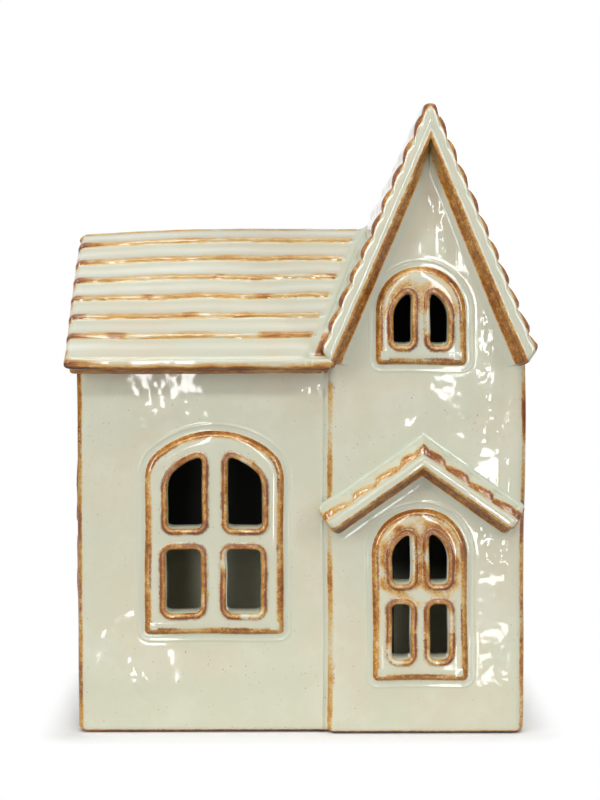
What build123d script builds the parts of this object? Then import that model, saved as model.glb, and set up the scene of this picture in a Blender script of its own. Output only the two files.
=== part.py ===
from build123d import *
import math
import os

# Tealight house, in millimetres. +X is the viewer's right, +Y runs to the back and +Z is up.
# The origin is in the middle of the footprint, on the surface that the house stands on.
# Every slab of clay is a solid of its own, and slabs meet face to face where they were joined.

# Walls and base
wall_span = 143.0             # outside of the left wall to outside of the right wall
walls_depth = 94.1            # face of the wing to the outside of the back wall
wing_span = 62.4              # width of the gabled wing
wing_step = 2.45              # how far the wing stands before the main front
wall_thickness = 5.0
base_thickness = 5.0
corner_radius = 3.5           # upright outside corners of the walls
foot_radius = 1.5             # bottom edge of the base

# Roof overhangs
roof_overhang = 6.95          # past the walls, at the front and at the back
left_overhang = 2.95          # past the left wall
right_overhang = 3.55         # tip of the gable roof past the right wall

# Main roof, with its ridge along X
soffit_height = 117.4         # underside of every eave
eave_face_height = 3.2
main_roof_rise = 45.7         # soffit to ridge
main_roof_thickness = 5.0     # square to the slope
main_course_count = 7
course_lip = 1.2              # step at the lower edge of each course

# Gable roof over the wing, with its ridge along Y
gable_rise = 82.6             # soffit to apex
gable_tip_rise = 6.6          # soffit to the outer corner of the lower edge
gable_peak_depth = 11.0       # upright thickness at the peak
gable_seat_inset = 0.9        # from the wing's side to the foot of the roof's inner face
gable_course_count = 9

# Canopy over the door-like window
canopy_offset = -1.9          # hand-placed, left of the wing's middle
canopy_end_reach = 1.7        # of a slope's end, past half the wing's width from the peak
canopy_angle = 35.6
canopy_over_door = 9.6        # from the door-like window's top to the canopy's underside
canopy_back_depth = 11.4      # square to the slope, against the wall
canopy_front_depth = 3.6      # square to the slope, at the front edge
canopy_front_drop = 5.6       # the top line falls this much to the front
canopy_projection = 6.9       # from the wing's face to the front edge
canopy_course_count = 4
canopy_lip = 0.9

# Window surrounds
surround_relief = 2.0         # plate proud of the wall
rim_relief = 0.9              # bead round each pane, proud of the plate
rim_width = 1.9
surround_edge_radius = 0.8
pane_corner_radius = 1.7

# Main window in the left part of the front, and its copies in the side walls
main_window_width = 43.9
main_window_height = 65.1
main_window_rise = 10.6       # of the arch over its springing
main_window_sill_height = 32.2
main_window_place_share = 0.544  # of the main front's width, to the window's middle
main_border = 6.7             # surround's side to the panes
main_bottom_border = 8.0
main_top_border = 8.3
main_mullion_width = 8.9
main_transom_width = 8.2
main_transom_share = 0.478    # of the window's height, to the middle of the bar

# Small window in the gable
gable_window_width = 28.3
gable_window_height = 30.8
gable_window_over_soffit = 1.1
gable_border = 5.6
gable_bottom_border = 7.1
gable_top_border = 7.5
gable_mullion_width = 6.4

# Door-like window under the canopy
door_window_width = 30.0
door_window_height = 55.1
door_window_sill_height = 17.7
door_border = 6.1
door_bottom_border = 8.5
door_top_border = 7.9
door_mullion_width = 6.5
door_transom_width = 8.2
door_transom_share = 0.515

wing_window_offset = -2.4     # hand-placed, left of the wing's middle

# Arched opening in the back, through which the tealight goes in
rear_opening_clearance = 3.0  # at each side of the tealight
rear_opening_height = 52.0
rear_opening_middle = 10.0    # out of the line of sight through the front panes

# Standard tealight
cup_diameter = 38.0
cup_height = 16.0
cup_wall = 0.35
cup_bottom_radius = 1.2
wax_height = 13.0
wax_clearance = 0.05          # the wax shrinks from the cup as it sets
wick_diameter = 1.6
wick_above_wax = 4.5
tab_diameter = 12.0
tab_thickness = 0.3
tab_neck_diameter = 3.0
tab_neck_height = 2.6

overrun = 20.0                # how far a cutting body runs past what it cuts
sharp_turn = 0.2              # sine of the least turn that counts as a corner
meeting_share = 0.01          # of the corner radius, within which two lines meet
fillet_share = 0.45           # the most of a pane's shortest side that a rounded corner takes

# Places that follow from the sizes above
roof_span = left_overhang + wall_span + right_overhang
roof_left = -roof_span / 2
roof_right = roof_span / 2
roof_reach = walls_depth / 2 + roof_overhang
wall_left = roof_left + left_overhang
wall_right = roof_right - right_overhang
wing_face = -walls_depth / 2
main_face = wing_face + wing_step
back_face = walls_depth / 2
wing_left = wall_right - wing_span
wing_middle = wall_right - wing_span / 2
inner_left = wall_left + wall_thickness
inner_right = wall_right - wall_thickness
main_inner_face = main_face + wall_thickness
back_inner_face = back_face - wall_thickness
eave_top_height = soffit_height + eave_face_height
ridge_height = soffit_height + main_roof_rise
main_slope = (ridge_height - eave_top_height) / roof_reach
apex_height = soffit_height + gable_rise
gable_tip_height = soffit_height + gable_tip_rise
gable_seat_reach = wing_span / 2 - gable_seat_inset
gable_inner_apex = apex_height - gable_peak_depth
over_everything = apex_height + overrun


def slab_along_x(points, x_low, x_high):
    """A closed outline in the YZ plane, carried from x_low to x_high."""
    outline = Plane.YZ * make_face(Polyline(*points, close=True))
    return extrude(Pos(x_low, 0, 0) * outline, amount=x_high - x_low, dir=(1, 0, 0))


def slab_along_y(points, y_low, y_high):
    """A closed outline in the XZ plane, carried from y_low to y_high."""
    outline = make_face(Polyline(*[(x, 0, z) for x, z in points], close=True))
    return extrude(Pos(0, y_low, 0) * outline, amount=y_high - y_low, dir=(0, 1, 0))


def block(x_low, x_high, y_low, y_high, z_low, z_high):
    """A box between two opposite corners."""
    size = (x_high - x_low, y_high - y_low, z_high - z_low)
    return Pos(x_low, y_low, z_low) * Box(*size, align=(Align.MIN, Align.MIN, Align.MIN))


def stepped_line(start, end, count, lip):
    """
    The top of a roof slope in section, from its high end to its low end: each course leans out
    to its lower edge, which lies on the straight line, and steps back in by the lip below it.
    """
    run = end[0] - start[0]
    fall = end[1] - start[1]
    length = math.hypot(run, fall)
    inward = (fall / length, -run / length) if run > 0 else (-fall / length, run / length)
    points = [start]
    for course in range(1, count):
        edge = (start[0] + run * course / count, start[1] + fall * course / count)
        points.append(edge)
        points.append((edge[0] + inward[0] * lip, edge[1] + inward[1] * lip))
    points.append(end)
    return points


def main_roof_underside():
    """Outline points of the main roof's underside, front eave to back eave."""
    upright_thickness = main_roof_thickness * math.hypot(1, main_slope)
    inner_ridge = ridge_height - upright_thickness
    kink_reach = (inner_ridge - soffit_height) / main_slope
    return [(-kink_reach, soffit_height), (0, inner_ridge), (kink_reach, soffit_height)]


def room_under_main_roof():
    """All the space below the main roof, as a cutting body."""
    reach = roof_reach + overrun
    points = [(-reach, 0), (-reach, soffit_height), *main_roof_underside(), (reach, soffit_height), (reach, 0)]
    return slab_along_x(points, roof_left - overrun, roof_right + overrun)


def room_under_gable_roof():
    """All the space below the gable roof, as a cutting body."""
    low = wing_middle - wing_span
    high = wing_middle + wing_span
    points = [
        (low, 0), (low, soffit_height), (wing_middle - gable_seat_reach, soffit_height),
        (wing_middle, gable_inner_apex),
        (wing_middle + gable_seat_reach, soffit_height), (high, soffit_height), (high, 0),
    ]
    return slab_along_y(points, -roof_reach - overrun, roof_reach + overrun)


def gable_half_outline(side):
    """Outline of one gable roof slope in the XZ plane; side is -1 for the left and 1 for the right."""
    apex = (wing_middle, apex_height)
    tip = (wing_middle + side * (roof_right - wing_middle), gable_tip_height)
    steps = stepped_line(apex, tip, gable_course_count, course_lip)
    return steps + [(wing_middle + side * gable_seat_reach, soffit_height), (wing_middle, gable_inner_apex)]


def gable_slope(side):
    """One slope of the gable roof from front to back, before it meets the main roof."""
    return slab_along_y(gable_half_outline(side), -roof_reach, roof_reach)


def gable_roof_left(under_main):
    """The wing's left slope, cut off where it comes down inside the main roof."""
    return gable_slope(-1) - under_main


def gable_roof_right():
    """The wing's right slope."""
    return gable_slope(1)


def main_roof_slope(side, under_gable):
    """One slope of the main roof, butted against the gable roof; side is -1 for the front."""
    ridge = (0, ridge_height)
    eave = (side * roof_reach, eave_top_height)
    underside = main_roof_underside()
    kink = underside[0] if side < 0 else underside[2]
    points = stepped_line(ridge, eave, main_course_count, course_lip)
    points += [(side * roof_reach, soffit_height), kink, underside[1]]
    slope = slab_along_x(points, roof_left, wing_middle)
    reach = roof_reach + overrun
    wing_side = block(wing_middle - gable_seat_reach, roof_right, -reach, reach, 0, over_everything)
    return slope - gable_slope(-1) - (under_gable & wing_side)


def window_outline(width, height, rise):
    """A window's outline standing on Y = 0: straight sides with an arch of the given rise."""
    spring = height - rise
    half = width / 2
    sides = Polyline((half, spring), (half, 0), (-half, 0), (-half, spring))
    arch = ThreePointArc((-half, spring), (0, height), (half, spring))
    return make_face(sides + arch)


def sharp_corners(face):
    """The corners of a flat outline where its line really turns, not where an arch runs on from a side."""
    corners = []
    for corner in face.vertices():
        directions = []
        for edge in face.edges():
            for end in (0, 1):
                if (edge.position_at(end) - Vector(corner)).length < pane_corner_radius * meeting_share:
                    directions.append(edge.tangent_at(end))
        if directions[0].cross(directions[1]).length > sharp_turn:
            corners.append(corner)
    return corners


def pane_outlines(window):
    """The panes of a window: its outline drawn in by the borders, less the glazing bars."""
    width = window["width"] - 2 * window["border"]
    height = window["height"] - window["bottom_border"] - window["top_border"]
    field_rise = window["rise"] * width / window["width"]
    field = Pos(0, window["bottom_border"]) * window_outline(width, height, field_rise)
    bars = Pos(0, window["height"] / 2) * Rectangle(window["mullion"], 2 * window["height"])
    if window["transom"]:
        bars += Pos(0, window["transom_middle"]) * Rectangle(2 * window["width"], window["transom"])
    panes = []
    for pane in (field - bars).faces():
        shortest_side = min(edge.length for edge in pane.edges())
        radius = min(pane_corner_radius, shortest_side * fillet_share)
        panes.append(fillet(sharp_corners(pane), radius))
    return panes


def on_front(shape, x, y, z):
    """Stands a flat window shape upright, facing the viewer, with its foot at the given place."""
    return Pos(x, y, z) * Rot(90, 0, 0) * shape


def on_left(shape, x, z):
    """Stands a flat window shape upright, facing left."""
    return Pos(x, 0, z) * Rot(0, 0, -90) * Rot(90, 0, 0) * shape


def on_right(shape, x, z):
    """Stands a flat window shape upright, facing right."""
    return Pos(x, 0, z) * Rot(0, 0, 90) * Rot(90, 0, 0) * shape


def window_cutters(window):
    """Bodies that cut the panes, lying flat and running through wall and surround."""
    reach = wall_thickness + overrun
    return [Pos(0, 0, -reach) * extrude(pane, amount=2 * reach) for pane in pane_outlines(window)]


def window_surround(window):
    """The raised plate with a bead round each pane, lying flat with its back on Z = 0."""
    plate = extrude(window_outline(window["width"], window["height"], window["rise"]), amount=surround_relief)
    front = plate.faces().sort_by(Axis.Z)[-1]
    plate = fillet(front.edges(), surround_edge_radius)
    for pane in pane_outlines(window):
        bead = offset(pane, amount=rim_width)
        plate += extrude(bead, amount=surround_relief + rim_relief)
    for cutter in window_cutters(window):
        plate -= cutter
    return plate


main_window = {
    "width": main_window_width, "height": main_window_height, "rise": main_window_rise,
    "border": main_border, "bottom_border": main_bottom_border, "top_border": main_top_border,
    "mullion": main_mullion_width, "transom": main_transom_width,
    "transom_middle": main_window_height * main_transom_share,
}
gable_window = {
    "width": gable_window_width, "height": gable_window_height, "rise": gable_window_width / 2,
    "border": gable_border, "bottom_border": gable_bottom_border, "top_border": gable_top_border,
    "mullion": gable_mullion_width, "transom": 0, "transom_middle": 0,
}
door_window = {
    "width": door_window_width, "height": door_window_height, "rise": door_window_width / 2,
    "border": door_border, "bottom_border": door_bottom_border, "top_border": door_top_border,
    "mullion": door_mullion_width, "transom": door_transom_width,
    "transom_middle": door_window_height * door_transom_share,
}
main_window_x = wall_left + (wall_span - wing_span) * main_window_place_share
wing_window_x = wing_middle + wing_window_offset
gable_window_sill_height = soffit_height + gable_window_over_soffit
door_window_top = door_window_sill_height + door_window_height
rear_opening_width = cup_diameter + 2 * rear_opening_clearance


def base_slab():
    """The floor, as wide as the walls; its front steps with the wing."""
    main = block(wall_left, wing_left, main_face, back_face, 0, base_thickness)
    wing = block(wing_left, wall_right, wing_face, back_face, 0, base_thickness)
    slab = (main + wing).clean()
    corners = slab.edges().filter_by(Axis.Z)
    outer = [edge for edge in corners if not inner_left < edge.center().X < inner_right]
    slab = fillet(outer, corner_radius)
    return fillet(slab.faces().sort_by(Axis.Z)[0].edges(), foot_radius)


def side_wall(x_low, x_high, front, rounded_x, room):
    """A side wall from front to back, with both outside corners rounded and its top under the roof."""
    wall = block(x_low, x_high, front, back_face, base_thickness, over_everything)
    corners = wall.edges().filter_by(Axis.Z).sort_by(lambda edge: abs(edge.center().X - rounded_x))[:2]
    return fillet(corners, corner_radius) & room


def left_wall(under_main):
    """The left wall, pointed under the main roof, with its window cut through."""
    wall = side_wall(wall_left, inner_left, main_face, wall_left, under_main)
    for cutter in window_cutters(main_window):
        wall -= on_left(cutter, wall_left, main_window_sill_height)
    return wall


def right_wall(under_gable):
    """The right wall, bevelled under the gable roof, with its window cut through."""
    wall = side_wall(inner_right, wall_right, wing_face, wall_right, under_gable)
    for cutter in window_cutters(main_window):
        wall -= on_right(cutter, wall_right, main_window_sill_height)
    return wall


def main_front_wall(under_main):
    """The plain front at the left, with four panes cut through."""
    wall = block(inner_left, wing_left, main_face, main_inner_face, base_thickness, over_everything) & under_main
    for cutter in window_cutters(main_window):
        wall -= on_front(cutter, main_window_x, main_face, main_window_sill_height)
    return wall


def wing_front_wall(under_main, under_gable):
    """The wing's gabled front, with the panes of both its windows cut through."""
    wall = block(wing_left, inner_right, wing_face, wing_face + wall_thickness, base_thickness, over_everything)
    wall = (wall & under_gable) + (wall & under_main)
    for cutter in window_cutters(gable_window):
        wall -= on_front(cutter, wing_window_x, wing_face, gable_window_sill_height)
    for cutter in window_cutters(door_window):
        wall -= on_front(cutter, wing_window_x, wing_face, door_window_sill_height)
    return wall.clean()


def back_wall(under_main, under_gable):
    """The back, from side wall to side wall, with the arched opening for the tealight."""
    wall = block(inner_left, inner_right, back_inner_face, back_face, base_thickness, over_everything)
    wall = (wall & under_gable) + (wall & under_main)
    arch = window_outline(rear_opening_width, rear_opening_height, rear_opening_width / 2)
    cutter = extrude(arch, amount=wall_thickness + 2 * overrun)
    return (wall - on_front(cutter, rear_opening_middle, back_face + overrun, base_thickness)).clean()


def canopy_half(side):
    """
    One slope of the canopy: the stepped section against the wall runs forward to a thinner
    and lower one at the front edge, and both meet the other slope on an upright mitre.
    """
    middle = wing_middle + canopy_offset
    run = wing_span / 2 + canopy_end_reach
    tangent = math.tan(math.radians(canopy_angle))
    cosine = math.cos(math.radians(canopy_angle))
    sine = math.sin(math.radians(canopy_angle))
    peak_height = door_window_top + canopy_over_door + canopy_back_depth / cosine

    def section(y, peak, depth):
        end = (middle + side * run, peak - run * tangent)
        top = stepped_line((middle, peak), end, canopy_course_count, canopy_lip)
        low_end = (end[0] - side * depth * sine, end[1] - depth * cosine)
        points = top + [low_end, (middle, peak - depth / cosine)]
        return make_face(Polyline(*[(x, y, z) for x, z in points], close=True))

    back = section(wing_face, peak_height, canopy_back_depth)
    front = section(wing_face - canopy_projection, peak_height - canopy_front_drop, canopy_front_depth)
    return loft([back, front], ruled=True)


def tealight_cup():
    """A drawn cup: flat bottom with a small radius, thin upright wall."""
    outside = Cylinder(cup_diameter / 2, cup_height, align=(Align.CENTER, Align.CENTER, Align.MIN))
    outside = fillet(outside.edges().sort_by(Axis.Z)[0], cup_bottom_radius)
    inside = Cylinder(cup_diameter / 2 - cup_wall, cup_height, align=(Align.CENTER, Align.CENTER, Align.MIN))
    inside = fillet(inside.edges().sort_by(Axis.Z)[0], cup_bottom_radius - cup_wall)
    return Pos(rear_opening_middle, 0, base_thickness) * (outside - Pos(0, 0, cup_wall) * inside)


def upright_rod(diameter, z_low, z_high):
    """A plain upright cylinder on the tealight's axis."""
    rod = Cylinder(diameter / 2, z_high - z_low, align=(Align.CENTER, Align.CENTER, Align.MIN))
    return Pos(rear_opening_middle, 0, z_low) * rod


cup_floor_height = base_thickness + cup_wall
tab_top_height = cup_floor_height + tab_thickness
neck_top_height = tab_top_height + tab_neck_height
wax_top_height = cup_floor_height + wax_height
wick_top_height = wax_top_height + wick_above_wax


def tealight_wick():
    """The wick, standing on the tab's disc inside its neck."""
    return upright_rod(wick_diameter, tab_top_height, wick_top_height)


def tealight_wick_tab():
    """The tin disc on the cup's floor, with the neck that grips the wick."""
    disc = upright_rod(tab_diameter, cup_floor_height, tab_top_height)
    neck = upright_rod(tab_neck_diameter, tab_top_height, neck_top_height)
    return disc + neck - upright_rod(wick_diameter, tab_top_height, neck_top_height)


def tealight_wax():
    """The wax, poured round the tab and the wick."""
    wax = upright_rod(cup_diameter - 2 * (cup_wall + wax_clearance), cup_floor_height, wax_top_height)
    wax = chamfer(wax.edges().sort_by(Axis.Z)[0], cup_bottom_radius - cup_wall)
    wax -= upright_rod(tab_diameter, cup_floor_height, tab_top_height)
    wax -= upright_rod(tab_neck_diameter, tab_top_height, neck_top_height)
    return wax - upright_rod(wick_diameter, neck_top_height, wax_top_height)


def build():
    """Every piece of the house, by name."""
    under_main = room_under_main_roof()
    under_gable = room_under_gable_roof()
    return {
        "base_slab": base_slab(),
        "left_wall": left_wall(under_main),
        "right_wall": right_wall(under_gable),
        "main_front_wall": main_front_wall(under_main),
        "wing_front_wall": wing_front_wall(under_main, under_gable),
        "back_wall": back_wall(under_main, under_gable),
        "main_roof_front": main_roof_slope(-1, under_gable),
        "main_roof_back": main_roof_slope(1, under_gable),
        "gable_roof_left": gable_roof_left(under_main),
        "gable_roof_right": gable_roof_right(),
        "porch_canopy_left": canopy_half(-1),
        "porch_canopy_right": canopy_half(1),
        "main_window_surround": on_front(
            window_surround(main_window), main_window_x, main_face, main_window_sill_height),
        "gable_window_surround": on_front(
            window_surround(gable_window), wing_window_x, wing_face, gable_window_sill_height),
        "door_window_surround": on_front(
            window_surround(door_window), wing_window_x, wing_face, door_window_sill_height),
        "left_window_surround": on_left(window_surround(main_window), wall_left, main_window_sill_height),
        "right_window_surround": on_right(window_surround(main_window), wall_right, main_window_sill_height),
        "tealight_cup": tealight_cup(),
        "tealight_wax": tealight_wax(),
        "tealight_wick": tealight_wick(),
        "tealight_wick_tab": tealight_wick_tab(),
    }


os.makedirs("parts", exist_ok=True)
for name, solid in build().items():
    export_step(solid, "parts/" + name + ".step")
    print(name, len(solid.solids()), "solid,", round(solid.volume, 1), "cubic mm")
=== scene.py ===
# %% [markdown]
# A glazed stoneware tealight house. The packed model gives the frame: where every slab of clay is and
# how the tealight moves. This lesson dresses that frame. Each slab becomes a soft-edged, slightly
# uneven surface, and one glaze covers them all: cream where it lies thick, amber and brown where it
# ran thin over an edge, pale green where it pooled in a hollow.

# %% Load the frame
import bmesh
import bpy
import math
import numpy as np
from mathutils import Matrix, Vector


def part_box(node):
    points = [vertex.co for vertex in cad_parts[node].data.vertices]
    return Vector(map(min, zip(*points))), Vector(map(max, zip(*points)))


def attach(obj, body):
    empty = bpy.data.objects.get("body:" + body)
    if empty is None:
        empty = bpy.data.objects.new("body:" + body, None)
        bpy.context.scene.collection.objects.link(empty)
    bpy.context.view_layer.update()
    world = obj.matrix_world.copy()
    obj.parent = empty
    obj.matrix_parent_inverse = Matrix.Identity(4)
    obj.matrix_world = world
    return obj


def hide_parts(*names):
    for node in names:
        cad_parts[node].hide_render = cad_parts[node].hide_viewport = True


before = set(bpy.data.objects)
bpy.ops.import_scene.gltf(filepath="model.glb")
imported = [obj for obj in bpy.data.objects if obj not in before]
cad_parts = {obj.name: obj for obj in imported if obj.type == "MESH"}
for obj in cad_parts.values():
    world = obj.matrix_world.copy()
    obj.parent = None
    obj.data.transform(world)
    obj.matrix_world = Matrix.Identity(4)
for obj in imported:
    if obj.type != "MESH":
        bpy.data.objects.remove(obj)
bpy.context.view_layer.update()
MM = 0.001
TAU = 2 * math.pi

# %% [markdown]
# Every length below is in millimetres, as a potter would measure it. What the frame already knows,
# such as where a wall stands, is read from it, so the looks can't drift away from the construction.


# %% Read the main places from the frame
def box_mm(node):
    """The lowest and the highest corner of a frame node, in millimetres."""
    low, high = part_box(node)
    return np.array(low) / MM, np.array(high) / MM


BASE_TOP = box_mm("base_slab")[1][2]
MAIN_LOW, MAIN_HIGH = box_mm("main_front_wall")
WING_LOW = box_mm("wing_front_wall")[0]
LEFT_LOW, LEFT_HIGH = box_mm("left_wall")
RIGHT_LOW, RIGHT_HIGH = box_mm("right_wall")
ROOF_LOW, ROOF_HIGH = box_mm("main_roof_front")
GABLE_LOW = box_mm("gable_roof_left")[0]
GABLE_HIGH = box_mm("gable_roof_right")[1]
CANOPY_LOW = box_mm("porch_canopy_left")[0]
CANOPY_HIGH = box_mm("porch_canopy_right")[1]

MAIN_FACE = MAIN_LOW[1]
WING_FACE = WING_LOW[1]
BACK_FACE = RIGHT_HIGH[1]
WALL_LEFT = LEFT_LOW[0]
WALL_RIGHT = RIGHT_HIGH[0]
INNER_LEFT = LEFT_HIGH[0]
INNER_RIGHT = RIGHT_LOW[0]
WING_LEFT = WING_LOW[0]
WALL = MAIN_HIGH[1] - MAIN_LOW[1]
SOFFIT = ROOF_LOW[2]
RIDGE = ROOF_HIGH[2]
REACH = -ROOF_LOW[1]
PEAK_X = box_mm("gable_roof_right")[0][0]
APEX = GABLE_HIGH[2]
print("walls from", WALL_LEFT, "to", WALL_RIGHT, "ridge", RIDGE, "apex", APEX)


# %% [markdown]
# Two small tools are used everywhere: a smooth seeded wander, for lines that a hand drew, and a smooth
# step, for glaze that fades. Random numbers with a seed give the same house at every run.


# %% Wander and step
def waves(position, wavelength, seed, count=4):
    """A smooth seeded wander of about -1 to 1: the sum of a few sine waves of nearby lengths."""
    draw = np.random.default_rng(seed)
    lengths = wavelength * draw.uniform(0.7, 1.5, count)
    phases = draw.uniform(0, TAU, count)
    total = 0
    for length, phase in zip(lengths, phases):
        total = total + np.sin(TAU * np.asarray(position) / length + phase)
    return total / math.sqrt(count)


def ease(value, low, high):
    """0 below low, 1 above high, and a smooth step between them."""
    share = np.clip((np.asarray(value, float) - low) / (high - low), 0, 1)
    return share * share * (3 - 2 * share)


def band(value, low, full, still, gone):
    """0 below low, 1 from full to still, and 0 again past gone."""
    return ease(value, low, full) * (1 - ease(value, still, gone))


print("a wander at four places:", np.round(waves(np.arange(4) * 10.0, 26, 3), 2))


# %% [markdown]
# Clay slabs are never quite flat. Each slab could be bent by itself, but then its joints would open.
# So one slow wander of space bends them all, and neighbours that met before still meet after it.


# %% The unevenness of hand-built clay
RIDGE_SAG = 2.1
PEAK_LEAN = 2.4


def hand_warp(points):
    """
    Bends space as hand-built clay is bent: each point moves by a sum of sine waves of its place,
    long ones of a quarter millimetre and short ones of a few hundredths. Nothing moves up or down
    at the foot, the left end of the main ridge sags, and the gable's peak leans right at the back.
    """
    draw = np.random.default_rng(7)
    moved = points.copy()
    for wavelength, height, count in [(58, 0.16, 7), (21, 0.045, 9)]:
        for _ in range(count):
            direction = draw.normal(size=3)
            direction /= np.linalg.norm(direction) * wavelength * draw.uniform(0.75, 1.4)
            push = draw.normal(size=3) * height / math.sqrt(count)
            moved += np.sin(TAU * (points @ direction) + draw.uniform(0, TAU))[:, None] * push
    lifted = ease(points[:, 2], BASE_TOP, BASE_TOP + 14)
    moved[:, 2] = points[:, 2] + (moved[:, 2] - points[:, 2]) * lifted
    along = np.clip((-12 - points[:, 0]) / 62, 0, 1.1) ** 1.7
    up = ease(points[:, 2], SOFFIT + 6, RIDGE)
    moved[:, 2] -= RIDGE_SAG * along * up
    moved[:, 0] += PEAK_LEAN * ease(points[:, 1], -35, 50) * ease(points[:, 2], 145, 192)
    return moved


print("the apex moves to:", np.round(hand_warp(np.array([[PEAK_X, 0.0, APEX]]))[0], 2))


# %% [markdown]
# Slabs and rims are the two kinds of surface in this house. A slab is two grids of points that pair
# up, one for each of its faces. A rim is a section carried round a line. Both come out as whole
# arrays, closed all round, so that a ray of light never finds a way into the clay.


# %% Slabs and rims as arrays
def together(*columns):
    """Columns side by side in one array, as x, y and z of points; a single number is repeated."""
    return np.stack(np.broadcast_arrays(*columns), -1)


def ring_quads(rows, count):
    """Quads between rows of points, where each row closes round."""
    index = np.arange(rows * count).reshape(rows, count)
    ahead = np.roll(index, -1, 1)
    return together(index[:-1], ahead[:-1], ahead[1:], index[1:]).reshape(-1, 4)


def closed_sheet(front, back, keep=None):
    """
    A slab between two grids of points that pair up: the kept cells of both grids, joined by a
    wall wherever a kept cell borders on nothing.
    """
    rows, columns = front.shape[:2]
    size = rows * columns
    if keep is None:
        keep = np.ones((rows - 1, columns - 1), bool)
    index = np.arange(size).reshape(rows, columns)
    cells = together(index[:-1, :-1], index[1:, :-1], index[1:, 1:], index[:-1, 1:])[keep]
    ring = np.pad(keep, 1)
    across = ring[:-1, 1:-1] != ring[1:, 1:-1]
    along = ring[1:-1, :-1] != ring[1:-1, 1:]
    starts = np.concatenate([index[:, :-1][across], index[:-1, :][along]])
    ends = np.concatenate([index[:, 1:][across], index[1:, :][along]])
    walls = together(starts, ends, ends + size, starts + size)
    points = np.concatenate([front.reshape(-1, 3), back.reshape(-1, 3)])
    return points, np.concatenate([cells, cells[:, ::-1] + size, walls])


def carried_ring(path, outward, forward, profile):
    """
    A closed profile carried round a closed path: each point is the path's point, plus the
    profile's first number along the outward direction and its second along the forward one.
    The profile may differ from point to point of the path.
    """
    profile = np.broadcast_to(profile, (len(path), profile.shape[-2], 2))
    points = path[:, None] + profile[..., :1] * outward[:, None] + profile[..., 1:] * forward
    count, size = profile.shape[:2]
    index = np.arange(count * size).reshape(count, size)
    ahead = np.roll(index, -1, 0)
    quads = together(index, ahead, np.roll(ahead, -1, 1), np.roll(index, -1, 1))
    return points.reshape(-1, 3), quads.reshape(-1, 4)


def turn(centre_x, centre_y, radius, first, last, count):
    """Points of an arc in a plane, between two angles in degrees."""
    angles = np.radians(np.linspace(first, last, count))
    return together(centre_x + radius * np.cos(angles), centre_y + radius * np.sin(angles))


def even_steps(low, high, step):
    """Evenly spaced values from low to high, about a step apart, both ends included."""
    return np.linspace(low, high, max(2, int(round(abs(high - low) / step)) + 1))


print("a 94 mm wall in steps of 2 mm has", len(even_steps(0, 94, 2)), "columns")


# %% [markdown]
# A surface carries its glaze with it: five numbers at each point, which the material reads later.
# They could be painted as an image, but numbers at points follow the shape by themselves. The pooling
# number has two sides: above zero the glaze lies in a hollow and is greener, and on the roof this also
# paints the shade under each lip; below zero it paints a highlight that whitens a flat.


# %% From surfaces to pieces
GLAZE_LABELS = ("thin", "rust", "pool", "inside", "ripple")
WELD = 1e-7


def shell(points, faces, **glaze):
    """
    One closed surface with its glaze: how thin it ran, how rusty it is there, how it pooled, where on the
    roof the same number paints shade and a highlight, whether it is the inside, which is painted dark as
    shade, and how much it ripples. What isn't given is zero.
    """
    values = [np.broadcast_to(np.asarray(glaze.get(label, 0.0), float), (len(points),))
              for label in GLAZE_LABELS]
    return {"points": points, "faces": faces, "glaze": values}


def add_piece(name, body, material, shells, stands_for=(), warped=True, sharp=42, weld=False):
    """
    Makes one object of closed shells: unused points dropped, faces turned outwards, smooth but
    for edges sharper than the given angle, and the glaze kept as attributes of the points. Welding
    closes the poles of turned shapes.
    """
    points, faces, glaze = [], [], []
    start = 0
    for part in shells:
        quads = np.asarray(part["faces"])
        used, renumbered = np.unique(quads, return_inverse=True)
        points.append(part["points"][used])
        faces.append(renumbered.reshape(quads.shape) + start)
        glaze.append(np.stack([values[used] for values in part["glaze"]], -1))
        start += len(used)
    points = np.concatenate(points)
    glaze = np.concatenate(glaze)
    if warped:
        points = hand_warp(points)
    mesh = bpy.data.meshes.new(name)
    mesh.from_pydata((points * MM).tolist(), [], [face for group in faces for face in group.tolist()])
    for column, label in enumerate(GLAZE_LABELS):
        layer = mesh.attributes.new(label, "FLOAT", "POINT")
        layer.data.foreach_set("value", glaze[:, column].astype(np.float32))
    work = bmesh.new()
    work.from_mesh(mesh)
    if weld:
        bmesh.ops.remove_doubles(work, verts=work.verts, dist=WELD)
    bmesh.ops.recalc_face_normals(work, faces=work.faces)
    work.to_mesh(mesh)
    work.free()
    mesh.polygons.foreach_set("use_smooth", np.ones(len(mesh.polygons), bool))
    mesh.set_sharp_from_angle(angle=math.radians(sharp))
    mesh.materials.append(material)
    piece = bpy.data.objects.new(name, mesh)
    bpy.context.scene.collection.objects.link(piece)
    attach(piece, body)
    if stands_for:
        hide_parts(*stands_for)
    print(f"{name}: {len(mesh.vertices)} points, {len(mesh.polygons)} faces")
    return piece


def add_clay(node, material, shells, weld=False):
    """A glazed piece of the house, in the place of one frame node."""
    return add_piece(node + "_glazed", "house", material, shells, [node], weld=weld)


print("glaze numbers at each point:", ", ".join(GLAZE_LABELS))


# %% [markdown]
# The glaze is the whole look of this house, and it is one recipe. A potter's "breaking" glaze is
# opaque cream in the body, and where it flows off an edge it thins to gold, then amber, then the
# brown of the clay. Colours are written as a screen shows them, because that is how they were
# judged, and turned into the linear numbers that nodes use.


# %% Glaze colours
def paint(red, green, blue):
    """A colour given as a screen shows it, 0 to 255, as the linear colour that nodes use."""
    screen = np.array([red, green, blue]) / 255
    linear = np.where(screen <= 0.04045, screen / 12.92, ((screen + 0.055) / 1.055) ** 2.4)
    return (*linear.tolist(), 1.0)


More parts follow.
